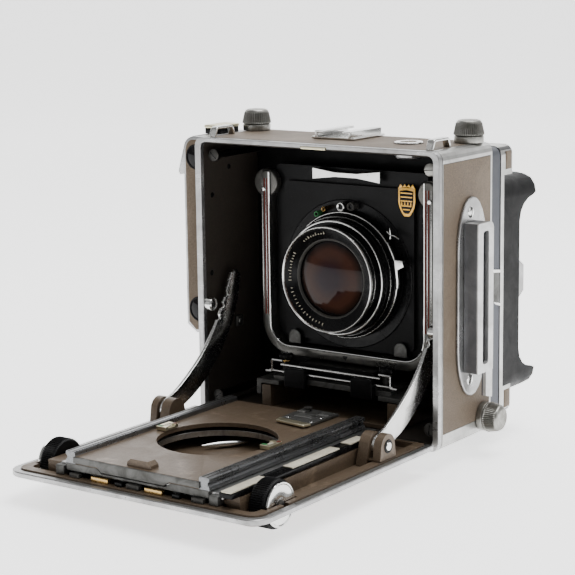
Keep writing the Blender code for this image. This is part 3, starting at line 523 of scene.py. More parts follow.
def zonedShell():
    # The metal of the body: satin silver outside, dark brown on the inside walls
    w = Wiring("shellMetal")
    x, _, z = w.split()
    grain = w.noise(1200, 5, 0.7)
    cloud = w.noise(40, 5, 0.65, distortion=0.5)
    across = w.sums("ABSOLUTE", w.sums("SUBTRACT", x, float(startPoint[0])))
    up = w.sums("SUBTRACT", z, float(startPoint[2]))
    within = w.sums("MULTIPLY", w.sums("LESS_THAN", across, 0.0858), w.inside(up, 0.0030, 0.1752))
    innerBrown = w.blend(w.ramp(grain, 0.3, 0.7), colour(30, 25, 20), colour(52, 44, 36))
    silver = w.blend(w.ramp(cloud, 0.35, 0.75), colour(196, 196, 194), colour(150, 149, 146))
    tone = w.blend(within, silver, innerBrown)
    outsideShare = w.sums("SUBTRACT", 1.0, within)
    rough = w.sums("MULTIPLY_ADD", within, 0.35, w.ramp(cloud, 0.3, 0.8, 0.28, 0.4))
    return w.finish(Base_Color=tone, Roughness=rough, Metallic=outsideShare,
                    Normal=w.bump(grain, 0.2, 0.0001))


def backFrameMaterial():
    # Sliding back: dark rods in front, satin silver at the corners, black inside and round the screen
    w = Wiring("backFrameMetal")
    x, y, z = w.split()
    grain = w.noise(900, 4, 0.65)
    cloud = w.noise(50, 5, 0.65, distortion=0.5)
    depth = w.sums("SUBTRACT", y, float(startPoint[1]))
    across = w.sums("ABSOLUTE", w.sums("SUBTRACT", x, float(startPoint[0])))
    up = w.sums("SUBTRACT", z, float(startPoint[2]))
    rod = w.sums("LESS_THAN", depth, 0.0746)
    inner = w.sums("MULTIPLY", w.sums("LESS_THAN", across, 0.0872), w.inside(up, 0.0072, 0.1732))
    face = w.sums("MULTIPLY", inner, w.sums("LESS_THAN", depth, 0.0888))
    silver = w.blend(w.ramp(cloud, 0.35, 0.75), colour(198, 198, 196), colour(152, 151, 148))
    tone = w.blend(face, silver, colour(14, 14, 15))
    tone = w.blend(rod, tone, w.blend(w.ramp(grain, 0.3, 0.7), colour(34, 33, 32), colour(62, 60, 58)))
    metal = w.sums("SUBTRACT", 1.0, w.sums("MULTIPLY", face, w.sums("SUBTRACT", 1.0, rod)))
    return w.finish(Base_Color=tone, Roughness=w.ramp(cloud, 0.3, 0.8, 0.26, 0.42), Metallic=metal,
                    Normal=w.bump(grain, 0.1, 0.00006))


def gripMaterial():
    # Grip bracket: bright slotted face to the side; the face to the front and the inside of the slot are
    # painted shade in dark grey
    w = Wiring("gripBracketMetal")
    x, y, _ = w.split()
    cloud = w.noise(60, 5, 0.65, distortion=0.5)
    depth = w.sums("SUBTRACT", y, float(startPoint[1]))
    across = w.sums("SUBTRACT", x, float(startPoint[0]))
    front = w.sums("MULTIPLY", w.sums("LESS_THAN", depth, 0.0251), w.sums("LESS_THAN", across, 0.1002))
    slotShade = w.sums("MULTIPLY", w.inside(depth, 0.0304, 0.0376), w.sums("LESS_THAN", across, 0.0985))
    shadedFaces = w.sums("MAXIMUM", front, slotShade)
    silver = w.blend(w.ramp(cloud, 0.35, 0.75), colour(200, 200, 200), colour(160, 159, 157))
    # Painted shade: dark grey, duller metal on the front face and in the slot
    shadeGrey = w.blend(w.ramp(cloud, 0.35, 0.75), colour(98, 98, 100), colour(70, 70, 72))
    return w.finish(Base_Color=w.blend(shadedFaces, silver, shadeGrey), Roughness=w.ramp(cloud, 0.3, 0.8, 0.28, 0.42),
                    Metallic=w.sums("MULTIPLY_ADD", shadedFaces, -0.4, 0.95))


def scaleMaterial():
    # Ivory plate engraved with plain tick lines across the bar, every millimetre and a half
    w = Wiring("ivoryScale")
    stain = w.noise(120, 5, 0.7)
    place = w.sums("FRACT", w.sums("MULTIPLY", w.split()["Y"], 660.0))
    tick = w.sums("MULTIPLY", w.sums("LESS_THAN", place, 0.14), 0.55)
    tone = w.blend(w.ramp(stain, 0.35, 0.7), colour(214, 208, 188), colour(176, 168, 148))
    tone = w.blend(tick, tone, colour(60, 56, 50))
    return w.finish(Base_Color=tone, Roughness=w.ramp(stain, 0.3, 0.7, 0.38, 0.55), Metallic=0.1)


lensLook = {"centre": (0.0, 93.0), "middle": colour(34, 22, 28), "ring": colour(56, 34, 26),
            "edge": colour(12, 9, 9)}


def frontGlassMaterial(look):
    # Coated glass: purple middle, amber ring, dark rim, by distance from the lens axis
    w = Wiring("frontGlass")
    x, _, z = w.split()
    drift = w.noise(70, 2, 0.5)
    across = w.sums("SUBTRACT", x, float(startPoint[0] + look["centre"][0] * mm))
    up = w.sums("SUBTRACT", z, float(startPoint[2] + look["centre"][1] * mm))
    reach = w.sums("SQRT", w.sums("ADD", w.sums("MULTIPLY", across, across), w.sums("MULTIPLY", up, up)))
    reach = w.sums("MULTIPLY_ADD", drift, 0.0035, reach)
    tone = w.blend(w.ramp(reach, 0.008, 0.0165), look["middle"], look["ring"])
    tone = w.blend(w.ramp(reach, 0.0195, 0.0245), tone, look["edge"])
    return w.finish(Base_Color=tone, Roughness=0.05, Specular_IOR_Level=0.14)


leather = leatherMaterial("bodyLeather", leatherLook)
enamel = enamelMaterial("bedEnamel", enamelLook)
railEnamel = enamelMaterial("trackEnamel", enamelLook, 43.4)
silver = silverMaterial("satinTrim", silverLook)
black = blackMaterial("blackLacquer", {**blackLook, "base": colour(12, 12, 13), "pale": colour(30, 29, 28)})
# Gloss black for black parts, also used as painted shade in screw slots and wall holes and as a painted
# shadow bar on the bed front
glossBlackAndShade = blackMaterial("glossBlackAndShade", {**blackLook, "base": colour(9, 9, 10), "pale": colour(24, 23, 23),
                                          "roughness": 0.2})
plastic = blackMaterial("hoodPlastic", {**blackLook, "base": colour(11, 11, 12), "pale": colour(24, 24, 25),
                                        "roughness": 0.42, "grain": 2400.0, "specular": 0.1})
# Dark metal for dark parts, also used as painted shade on three rod screw heads and in the rail grooves
darkMetalAndShade = blackMaterial("darkCastingAndShade", {**blackLook, "base": colour(60, 59, 57),
                                          "pale": colour(100, 96, 90),
                                          "roughness": 0.42, "grain": 1600.0}, 0.5)
frameMetal = blackMaterial("frameMetal", {**blackLook, "base": colour(92, 91, 88),
                                          "pale": colour(136, 133, 127),
                                          "roughness": 0.3, "grain": 1600.0}, 0.8)
bandMetal = blackMaterial("bandMetal", {**blackLook, "base": colour(78, 80, 86),
                                        "pale": colour(108, 109, 112),
                                        "roughness": 0.38, "grain": 1800.0}, 0.6)
stripeRed = blackMaterial("stripeRed", {**blackLook, "base": colour(96, 40, 34),
                                        "pale": colour(120, 66, 54),
                                        "roughness": 0.4})
casting = steelMaterial("greyCasting", colour(100, 100, 98), colour(66, 65, 62), 0.42, 0.8)
groundSteel = steelMaterial("groundSteel", colour(188, 188, 186), colour(122, 121, 118))
knobSteel = steelMaterial("knobSteel", colour(158, 157, 152), colour(104, 102, 97), 0.3)
chrome = chromeMaterial("brightChrome")
strutMetal = chromeMaterial("strutChrome", (214, 214, 212), 0.17)
brass = chromeMaterial("agedBrass", (196, 160, 96), 0.22)
paleBrass = chromeMaterial("paleBrass", (214, 206, 176), 0.3)
gold = chromeMaterial("badgeGold", (206, 158, 70), 0.28)
greenPaint = blackMaterial("greenPaint", {**blackLook, "base": colour(58, 118, 74),
                                          "pale": colour(96, 150, 104)})
cloth = bellowsMaterial()
lensGlass = frontGlassMaterial(lensLook)
windowGlass = glassMaterial("windowGlass", colour(26, 22, 22), colour(12, 11, 12))
screen = screenMaterial()
shellMetal = zonedShell()
backMetal = backFrameMaterial()
gripMetal = gripMaterial()
ivory = scaleMaterial()
print("materials made")

cadFinishes = {
    shellMetal: ("body_shell",),
    leather: ("top_leather", "right_leather", "bed_leather"),
    silver: ("bed_release_button",),
    groundSteel: ("hinge_pin", "tripod_bushing"),
    chrome: ("focus_shaft",),
    black: ("lens_board",),
    screen: ("ground_glass",),
}


def dressCadNodes():
    for material, names in cadFinishes.items():
        for name in names:
            materials = frame["nodes"][name].data.materials
            materials.clear()
            materials.append(material)


# Nodes that keep their CAD shape with rounded edges: finish and edge width in millimetres
softNodes = {
    "front_trim": (silver, 1.1), "base_plate": (silver, 1.0), "accessory_shoe": (chrome, 0.3),
    "grip_plate": (silver, 0.8), "grip_bracket": (gripMetal, 0.9), "bed_rim": (silver, 1.2),
    "bed_tray": (enamel, 0.5), "strut_bracket_left": (enamel, 0.8), "strut_bracket_right": (enamel, 0.8),
    "inner_track": (enamel, 0.4), "upper_track": (railEnamel, 0.35), "lower_track": (groundSteel, 0.3),
    "rear_casing": (bandMetal, 0.6), "rear_frame": (backMetal, 0.8), "focusing_back": (plastic, 1.8),
    "screen_catch": (silver, 0.9), "standard_base": (casting, 0.6), "clamp_grip_left": (black, 0.9),
    "clamp_grip_right": (black, 0.9), "swing_block": (black, 0.8), "lens_carrier": (black, 0.5),
    "board_latch": (chrome, 0.35), "infinity_stop_left": (paleBrass, 0.3),
    "infinity_stop_right": (paleBrass, 0.3),
}

dressCadNodes()
for node, (material, width) in softNodes.items():
    softened(node, material, width)
print("CAD nodes dressed")


bodyTrimLook = {"leftLeather": ((-89.4, 5.0, 10.3), (-87.9, 59.9, 170.2)), "panelSize": (169.2, 169.6),
                "panelOpening": 100, "striker": ((-7.6, -0.3, 174.8), (10.1, 1.0, 176.5)),
                "releaseButton": (48.8, 32.0), "wallHoles": ((30.0, 156.6), (12.1, 140.2), (10.0, 90.4),
                                                             (14.0, 52.0))}


def makeBodyTrim(look):
    left = block(*look["leftLeather"], 0.3)
    makePiece("leftLeather", [left], leather, "camera_body")
    outer = roundedBox(*look["panelSize"], 3) + (0, 89.0)
    inner = roundedBox(look["panelOpening"], look["panelOpening"], 3) + (0, 92.0)
    makePiece("bellowsPanel", [hollowPlate(outer, inner, "y", 60.4, 61.9, 0.3)], black, "camera_body")
    striker = block(*look["striker"], 0.25)
    makePiece("strikerPlate", [striker], paleBrass, "camera_body")
    ring = turned(softProfile([(5.4, 178.7), (5.4, 179.2), (8.5, 179.2), (8.6, 178.7)], 0.2), "z",
                  look["releaseButton"], 72,
                  ring=True)
    inlay = turned([(0.01, 179.05), (5.4, 179.0), (5.5, 178.6)], "z", look["releaseButton"], 72)
    makePiece("releaseButtonTop", [ring, inlay], [chrome, leather], "bed_release")
    # Thin gloss black discs on the inner left wall are painted shade standing for the holes
    holeShadeDiscs = [turned([(1.7, -84.9), (1.5, -84.75), (0.01, -84.75)], "x", place, 24)
             for place in look["wallHoles"]]
    fixture = block((-85.0, 33.0, 51.5), (-82.5, 40.0, 58.5), 0.5, 3.0)
    makePiece("wallFittings", holeShadeDiscs + [fixture, screwHead((-82.5, 36.6, 55), "x", 2.0, 0.6)],
              [glossBlackAndShade] * 4 + [darkMetalAndShade, groundSteel], "camera_body")


finderLook = {"front": 8.0, "back": 58.0, "windows": ((-93.6, 164.4), (-93.6, 66.3)), "windowRadius": 8.0}


def makeFinder(look):
    # Silver casing with an inset leather face, two domed windows, a flared side cover and a top block
    outline = np.concatenate([[(-89.3, 51), (-89.3, 177.2)], arcPoints((-96.5, 169.2), 8.0, 90, 180, 9),
                              [(-104.5, 55.5), (-97, 50.5)]])
    middle = np.array([-96.9, 114.0])
    face = middle + (outline - middle) * np.array([0.72, 0.968])
    casing = plate(outline, "y", look["front"], look["back"], 0.9)
    front = plate(face, "y", look["front"] - 0.5, look["front"] + 0.8, 0.25)
    side = block((-104.9, 14.0, 62.0), (-104.2, 52.0, 146.0), 0.25)
    cover = plate([(-97, 177.5), (-104.0, 172.5), (-109.3, 154.5), (-108.0, 152.2), (-103.9, 153.0),
                   (-103.6, 160)],
                  "y", 8.4, 50.0, 0.6)
    shapes, finishes = [casing, front, side, cover], [silver, leather, leather, silver]
    radius = look["windowRadius"]
    for centre in look["windows"]:
        rim = turned(softProfile([(radius - 1.2, 7.9), (radius - 0.9, 7.0), (radius, 7.0),
                                  (radius + 0.3, 7.9)], 0.2),
                     "y", centre, 64, ring=True)
        t = np.linspace(0, 1, 8)
        dome = np.stack([np.maximum((radius - 1.0) * (1 - t), 0.01), 7.5 - 0.9 * np.sin(t * math.pi / 2)],
                        -1)
        shapes += [rim, turned(dome, "y", centre, 64)]
        finishes += [glossBlackAndShade, windowGlass]
    makePiece("finderHousing", shapes, finishes, "camera_body",
              ("rangefinder_housing", "rangefinder_window_upper", "rangefinder_window_lower"))
    lid = block((-103.5, 27.0, 180.6), (-89.5, 50.0, 182.6), 0.8, 3.0)
    under = block((-103.0, 27.6, 177.0), (-90.0, 49.4, 180.8), 0.4, 2.5)
    makePiece("finderTopBlock", [lid, under], [paleBrass, glossBlackAndShade], "camera_body")


lockLook = {"base": 8.9, "top": 7.4, "height": 13.5, "count": 44, "depth": 0.34}


def lockKnob(look, axis, centre, foot, direction):
    # Smooth base ring, then a knurled cone that narrows to a flat domed top
    heights = softProfile([(0.01, 0.0), (look["base"], 0.0), (look["base"], 3.7),
                           (look["base"] - 0.9, 4.0)], 0.3)
    knurl = np.stack([np.linspace(look["base"] + 0.2, look["top"] + 0.1, 14), np.linspace(4.6, 11.9, 14)],
                     -1)
    top = softProfile([(look["top"] + 0.1, 11.9), (look["top"] - 0.2, 12.8),
                       (look["top"] - 1.6, look["height"]),
                       (0.01, look["height"])], 0.5)
    profile = np.concatenate([heights, knurl, top[1:]])
    profile[:, 1] = foot + direction * profile[:, 1]
    edge = sorted((foot + direction * 4.9, foot + direction * 11.6))
    return turned(profile, axis, centre, look["count"] * 4, ripple=(look["count"], look["depth"], *edge))


def makeLockKnobs(look):
    for label, side in (("left", -1), ("right", 1)):
        makePiece(f"topLockKnob_{label}", [lockKnob(look, "z", (78.5 * side, 52.2), 178.4, 1)], knobSteel,
                  f"top_lock_{label}", (f"top_lock_knob_{label}",), 50)
        makePiece(f"sideLockKnob_{label}", [lockKnob(look, "x", (52.0, 11.6), 89.3 * side, side)],
                  knobSteel,
                  f"side_lock_{label}", (f"side_lock_knob_{label}",), 50)


lugLook = {"place": 79.0, "halfWidth": 2.3, "halfThickness": 0.85,
           "bends": ((6.2, 178.4), (7.9, 182.6), (9.0, 183.4), (23.2, 183.4), (24.4, 182.6), (26.0, 178.4))}


def makeStrapLugs(look):
    # A flat strip bent over into a low bridge
    path = softProfile(look["bends"], 1.2, 6)
    for label, side in (("left", -1), ("right", 1)):
        middle = look["place"] * side
        strip = plate(band(path, look["halfThickness"], 4), "x", middle - look["halfWidth"],
                      middle + look["halfWidth"], 0.4)
        makePiece(f"strapLug_{label}", [strip], chrome, "camera_body",
                  (f"strap_lug_{label}",))


def slottedScrew(centre, axis, radius, height, turn, outward=1):
    return [screwHead(centre, axis, radius, height, outward),
            slotShadeBar(centre, axis, radius, height, turn, outward)]


screwLook = {"grip": (((91.2, 32.8, 139.6), 80), ((91.2, 32.7, 38.7), 70)),
             "rods": ((-79, 11.6), (79, 11.6), (-79, 166.5), (79, 166.5))}


def makeScrews(look):
    # The dark slot bars on these heads are painted shade
    shapes = [shape for place, turn in look["grip"] for shape in slottedScrew(place, "x", 3.6, 0.9, turn)]
    makePiece("gripScrews", shapes, [chrome, glossBlackAndShade] * 2, "camera_body")
    shapes = []
    for index, (x, z) in enumerate(look["rods"]):
        shapes += slottedScrew((x, 6.4, z), "y", 3.9, 0.8, 35 + 50 * index, -1)
    # Painted shade: three rod screw heads take dark metal and the fourth lit steel; the slot bars are
    # painted shade
    makePiece("rodScrews", shapes, [darkMetalAndShade, glossBlackAndShade, darkMetalAndShade, glossBlackAndShade, darkMetalAndShade, glossBlackAndShade,
                                    knobSteel,
                                    glossBlackAndShade], "back")


backLook = {"patchHeights": ((159.6, 170.6), (10.2, 21.4))}


def makeBackTrim(look):
    # Leather patches on the corner blocks and a tapered clip plate on the dark band
    patches = [block((low, 80.8, bottom), (low + 0.7, 87.6, top), 0.2)
               for low in (87.6, -88.3) for bottom, top in look["patchHeights"]]
    makePiece("backPatches", patches, leather, "back")
    clip = plate([(64.2, 99.0), (73.4, 97.6), (73.4, 77.6), (66.0, 79.6)], "x", 87.5, 88.4, 0.25)
    bars = [plate([(63.4, 100.4), (74.4, 98.6), (74.4, 96.8), (64.4, 98.2)], "x", 87.6, 88.7, 0.2),
            plate([(66.0, 79.8), (74.4, 77.8), (74.4, 76.0), (67.4, 78.2)], "x", 87.6, 88.7, 0.2)]
    makePiece("backClip", [clip] + bars, [casting, chrome, chrome], "back")


makeBodyTrim(bodyTrimLook)
makeFinder(finderLook)
makeLockKnobs(lockLook)
makeStrapLugs(lugLook)
makeScrews(screwLook)
makeBackTrim(backLook)
print("body pieces made")


strutLook = {"pivot": (-48.0, 15.0), "tip": (23.5, 86.0), "boss": (5.4, 71.0), "bow": 29.0, "place": 77.5,
             "widths": (6.0, 6.1, 6.9, 7.4, 7.4, 7.4, 7.4, 7.4, 7.2, 6.4, 5.2),
             "notches": (0.72, 0.8, 0.88)}


def makeStruts(look):
    # A bar along an arc, with notches in its upper edge near the tip
    start, tip = np.array(look["pivot"]), np.array(look["tip"])
    chord = tip - start
    aim, bow = math.atan2(chord[1], chord[0]), math.radians(look["bow"])
    radius = np.linalg.norm(chord) / (2 * math.sin(bow))
    centre = start + radius * np.array([-math.sin(aim - bow), math.cos(aim - bow)])
    t = np.linspace(0, 1, 121)
    angle = aim - bow + 2 * bow * t
    curve = centre + radius * np.stack([np.sin(angle), -np.cos(angle)], -1)
    half = np.interp(t, np.linspace(0, 1, len(look["widths"])), look["widths"])
    dent = sum(2.0 * np.exp(-((t - place) * 111 / 1.5) ** 4) for place in look["notches"])
    outline = band(curve, half, 10, dent)
    for label, side in (("left", -1), ("right", 1)):
        place = look["place"] * side
        bar = plate(outline, "x", place - 1.2, place + 1.2, 0.5)
        makePiece(f"strutBar_{label}", [bar], strutMetal, f"strut_{label}_arm",
                  (f"strut_{label}",))
        t = np.linspace(0, 1, 10)
        ball = np.stack([np.maximum(4.4 * np.cos(t * math.pi / 2) ** 0.7, 0.01),
                         (81.0 - 1.7 * np.sin(t * math.pi / 2)) * side], -1)
        ball = np.concatenate([[(0.01, 85.0 * side), (4.4, 85.0 * side)], ball])
        makePiece(f"strutBoss_{label}", [turned(ball, "x", look["boss"], 64)], chrome, "camera_body",
                  (f"strut_boss_{label}",))
        outer = 84.2 * side
        pin = turned(softProfile([(0.01, outer + 0.9 * side), (2.4, outer + 0.9 * side),
                                  (2.8, outer - 0.5 * side),
                                  (0.01, outer - 0.5 * side)], 0.3), "x", look["pivot"], 40)
        ring = turned(softProfile([(2.8, outer - 0.4 * side), (2.9, outer + 0.5 * side),
                                   (3.9, outer + 0.5 * side),
                                   (4.1, outer - 0.4 * side)], 0.2), "x", look["pivot"], 40, ring=True)
        makePiece(f"bracketPin_{label}", [pin, ring], [chrome, glossBlackAndShade], "bed")


focusLook = {"centre": (-148.0, 6.2), "radius": 13.3, "count": 66, "depth": 0.28}


def makeFocusKnobs(look):
    for label, side in (("left", -1), ("right", 1)):
        low, high = 69.0 * side, 79.1 * side
        t = np.linspace(0, 1, 12)
        rim = np.stack([np.full(12, look["radius"]), low + (high - low) * (0.1 + 0.8 * t)], -1)
        profile = np.concatenate([[(2.6, low), (look["radius"] - 0.7, low)], rim,
                                  [(look["radius"] - 0.7, high), (2.6, high)]])
        edges = sorted((low + 0.9 * side, high - 0.9 * side))
        grip = turned(profile, "x", look["centre"], look["count"] * 4, ring=True,
                      ripple=(look["count"], look["depth"], *edges))
        makePiece(f"focusGrip_{label}", [grip], black, "focus_drive",
                  (f"focus_knob_{label}",), 50)
        face = 80.6 * side
        disc = turned([(0.01, face - 0.6 * side), (11.9, face - 0.6 * side), (12.2, face - 0.2 * side),
                       (12.1, face + 0.35 * side), (11.4, face + 0.5 * side), (10.8, face + 0.1 * side),
                       (4.4, face + 0.25 * side), (3.8, face - 0.1 * side), (0.01, face - 0.1 * side)],
                      "x", look["centre"], 96)
        nut = turned([(0.01, face + 1.1 * side), (2.0, face + 1.1 * side), (2.6, face + 0.7 * side),
                      (2.7, face - 0.3 * side), (0.01, face - 0.3 * side)], "x", look["centre"], 40)
        makePiece(f"focusDisc_{label}", [disc, nut], [chrome, darkMetalAndShade], "focus_drive")


fittingLook = {"scaleBar": ((58.7, -172.5, 12.8), (67.2, -40, 16.0)),
               "scalePlates": ((-172.4, -139.0), (-117.0, -71.0), (-60.5, -44.0)),
               "frontBlocks": ((-46, 7, 0), (-30, 12, 0.4), (-13, 5, 0), (-5, 9, 0.5), (8, 12, 0.3),
                               (27, 5, 0),
                               (40, 8, 0.4)), "endBlocks": 54.0}


def makeBedFittings(look):
    bar = block(*look["scaleBar"], 0.5)
    plates = [block((60.0, start, 15.9), (66.6, end, 16.7), 0.2) for start, end in look["scalePlates"]]
    makePiece("scaleBar", [bar] + plates, [glossBlackAndShade] + [ivory] * 3, "bed", ("scale_bar",))
    t = np.linspace(0, 1, 12)
    pull = tube(np.stack([-25 + 17 * t, -80 + 22 * t, 6.4 + 0 * t], -1), 1.7 * np.sin(0.25 + 2.6 * t), 16)
    blocks = [block((x, -172.6, 7.0), (x + wide, -169.4, 9.6 + lift), 0.3)
              for x, wide, lift in look["frontBlocks"]]
    finishes = [darkMetalAndShade, brass, glossBlackAndShade, darkMetalAndShade, brass, glossBlackAndShade, darkMetalAndShade]
    # A gloss black bar behind the front blocks is painted shadow
    shadow = block((-52, -167, 3.9), (52, -164.5, 9.6), 0.2)
    makePiece("bedFrontFittings", [pull, shadow] + blocks, [chrome, glossBlackAndShade] + finishes, "bed")
    ends = [block((look["endBlocks"] * side - 3, -171.5, 7.2), (look["endBlocks"] * side + 3, -160.0, 12.6),
                  0.5)
            for side in (-1, 1)]
    makePiece("bedEndBlocks", ends, casting, "bed")


def makeTrackFront():
    # Two castings that lock together round a dropped step, and dark bars along the rails as painted shade
    # in the grooves
    upper = [(-44.4, 18.4), (-44.4, 14.9), (-27.0, 14.9), (-24.0, 12.4), (20.0, 12.4), (24.0, 14.9),
             (44.4, 14.9),
             (44.4, 18.4)]
    lower = [(-50.0, 14.4), (-50.0, 10.2), (50.0, 10.2), (50.0, 14.4), (24.6, 14.4), (20.6, 11.8),
             (-24.6, 11.8),
             (-27.6, 14.4)]
    makePiece("upperFront", [plate(upper, "y", -170.9, -169.0, 0.3)], casting, "upper_slide")
    makePiece("lowerFront", [plate(lower, "y", -170.2, -167.4, 0.3)], casting, "lower_slide")
    # Thin dark bars on the rails are painted shade in the grooves
    grooveShadeBars = [block((x - 0.35, -169.6, 20.9), (x + 0.35, -20.4, 21.35),
                     0.1) for x in (-48.6, -45.4, 45.4, 48.6)]
    makePiece("railGrooveShade", grooveShadeBars, darkMetalAndShade, "upper_slide")


def makeCamPlate():
    base = plate([(7, -46.5), (31, -49.5), (32, -20), (9, -19), (6, -30)], "z", 18.9, 20.6, 0.3)
    lip = plate([(8.4, -51.5), (30.0, -54.5), (31.4, -48.8), (7.2, -45.8)], "z", 19.6, 21.0, 0.25)
    raised = [block((12, -38, 20.3), (24, -30, 21.0), 0.2), block((22, -29, 20.3), (30, -22, 21.0), 0.2),
              block((8.5, -30, 20.3), (14, -22, 21.6), 0.3)]
    screws = [screwHead((x, y, 20.5), "z", 1.5, 0.45) for x, y in ((10.5, -42), (28.5, -44), (28.5, -34))]
    post = turned(softProfile([(0.01, 20.4), (1.8, 20.4), (1.8, 21.8), (2.6, 22.0), (2.6, 23.0),
                               (0.01, 23.0)], 0.2),
                  "z", (12.5, -24.0), 32)
    finishes = [casting, paleBrass] + [groundSteel] * 3 + [chrome] * 3 + [darkMetalAndShade]
    makePiece("camPlate", [base, lip] + raised + screws + [post], finishes, "upper_slide",
              ("rangefinder_cam",))


def makeStopColours():
    for label, side in (("left", -1), ("right", 1)):
        x = 37.4 * side
        dots = [block((x - 3.2, -101.5, 21.2), (x + 0.2, -99.8, 21.5), 0.1),
                block((x + 0.6, -92.8, 21.2), (x + 3.2, -91.2, 21.5), 0.1),
                block((x - 1.5, -98.6, 20.2), (x + 1.9, -94.2, 21.0), 0.2)]
        makePiece(f"stopMarks_{label}", dots, [greenPaint, stripeRed, ivory], f"infinity_{label}")


makeStruts(strutLook)
makeFocusKnobs(focusLook)
makeBedFittings(fittingLook)
makeTrackFront()
makeCamPlate()
makeStopColours()
print("bed pieces made")


frameLook = {"outer": 64.0, "inner": 57.2, "low": 36.5, "high": 155.0, "front": 35.2, "back": 44.8}


def makeFrame(look):
    # A U of rounded section with a bright bead, two red-brown lines up each side and round end discs
    outer, inner, low, high = look["outer"], look["inner"], look["low"], look["high"]
    lower = low + outer - inner
    outline = np.concatenate([arcPoints((-outer + 3, high - 3), 3, 90, 180, 5),
                              arcPoints((-outer + 22, low + 22), 22, 180, 270, 14),
                              arcPoints((outer - 22, low + 22), 22, 270, 360, 14),
                              arcPoints((outer - 3, high - 3), 3, 0, 90, 5),
                              [(inner, high)], arcPoints((inner - 14, lower + 14), 14, 0, -90, 12),
                              arcPoints((-inner + 14, lower + 14), 14, 270, 180, 12), [(-inner, high)]])
    main = plate(outline, "y", look["front"], look["back"], 1.2)
    bead = np.concatenate([[(-inner - 0.5, high - 1)], arcPoints((-inner + 14, lower + 14), 14.5, 180, 270,
                                                                 16),
                           arcPoints((inner - 14, lower + 14), 14.5, 270, 360, 16),
                           [(inner + 0.5, high - 1)]])
    path = np.stack([bead[:, 0], np.full(len(bead), look["front"] + 0.25), bead[:, 1]], -1)
    shapes, finishes = [main, tube(path, 0.65, 10)], [frameMetal, chrome]
    for side in (-1, 1):
        for x, wide, finish in ((58.9, 0.9, stripeRed), (59.9, 0.35, chrome), (60.8, 0.9, stripeRed),
                                (62.6, 0.4, chrome)):
            low3, high3 = (x * side - wide / 2, look["front"] - 0.15, 62.0), (x * side + wide / 2,
                                                                              look["front"] + 0.5, 150.0)
            shapes.append(block(low3, high3, 0.1))
            finishes.append(finish)
        disc = softProfile([(0.01, 36.6), (8.2, 36.6), (8.9, 37.2), (8.9, 41.8), (0.01, 41.8)], 0.5)
        pin = softProfile([(0.01, 34.3), (1.3, 34.3), (1.7, 34.8), (1.7, 37.0), (0.01, 37.0)], 0.3)
        shapes += [turned(disc, "y", (61.0 * side, 147.0), 72), turned(pin, "y", (61.6 * side, 143.0), 24)]
        finishes += [frameMetal, chrome]
    mark = plate([(-2.0, 41.2), (2.0, 41.2), (0.0, 38.2)], "y", look["front"] - 0.15, look["front"] + 0.3,
                 0.05)
    makePiece("lensFrame", shapes + [mark], finishes + [glossBlackAndShade], "front_frame",
              ("u_frame",))


def makeStandardFittings():
    ends = []
    for side in (-1, 1):
        bend = np.array([(36.0, 17.9, 37.2), (44.0, 17.9, 37.2), (44.2, 17.9, 36.8), (44.2, 17.9, 30.0),
                         (44.6, 17.9, 29.6),
                         (49.0, 17.9, 29.6)]) * (side, 1, 1)
        ends.append(tube(bend, 0.8, 8))
    upper = tube([(-37.0, 17.9, 34.8), (-10.0, 17.9, 34.8), (10.0, 17.9, 34.8), (37.0, 17.9, 34.8)], 0.85,
                 12)
    lower = tube([(-46.0, 18.1, 30.2), (-10.0, 18.1, 30.2), (10.0, 18.1, 30.2), (46.0, 18.1, 30.2)], 0.75,
                 12)
    makePiece("standardRods", [upper, lower] + ends, chrome, "standard")
    for label, side in (("left", -1), ("right", 1)):
        x, y = 37.6 * side, 24.0
        stem = turned([(0.01, 27.7), (2.4, 27.7), (2.4, 37.0), (0.01, 37.0)], "z", (x, y), 32)
        head = turned(softProfile([(0.01, 36.8), (4.2, 36.8), (4.4, 37.6), (4.4, 40.2), (3.9, 41.0),
                                   (0.01, 41.0)], 0.4),
                      "z", (x, y), 120, ripple=(30, 0.14, 37.3, 40.4))
        collar = turned(softProfile([(2.4, 36.0), (3.6, 36.0), (3.6, 36.9), (2.4, 36.9)], 0.15), "z",
                        (x, y), 40, ring=True)
        makePiece(f"standardKnob_{label}", [stem, head, collar], [darkMetalAndShade, glossBlackAndShade, brass],
                  f"standard_lock_{label}", (f"standard_knob_{label}",), 50)
    caps = []
    for side in (-1, 1):
        hump = np.concatenate([[(39.7 * side - 4.6, 44.8), (39.7 * side + 4.6, 44.8)],
                               arcPoints((39.7 * side, 49.4), 4.6, 0, 180, 14)])
        caps.append(plate(hump, "y", 36.4, 37.8, 0.6))
    makePiece("boardFeet", caps, casting, "lens_rise")


badgeLook = {"centre": (43.2, 140.8), "wide": 12.2, "tall": 18.6}


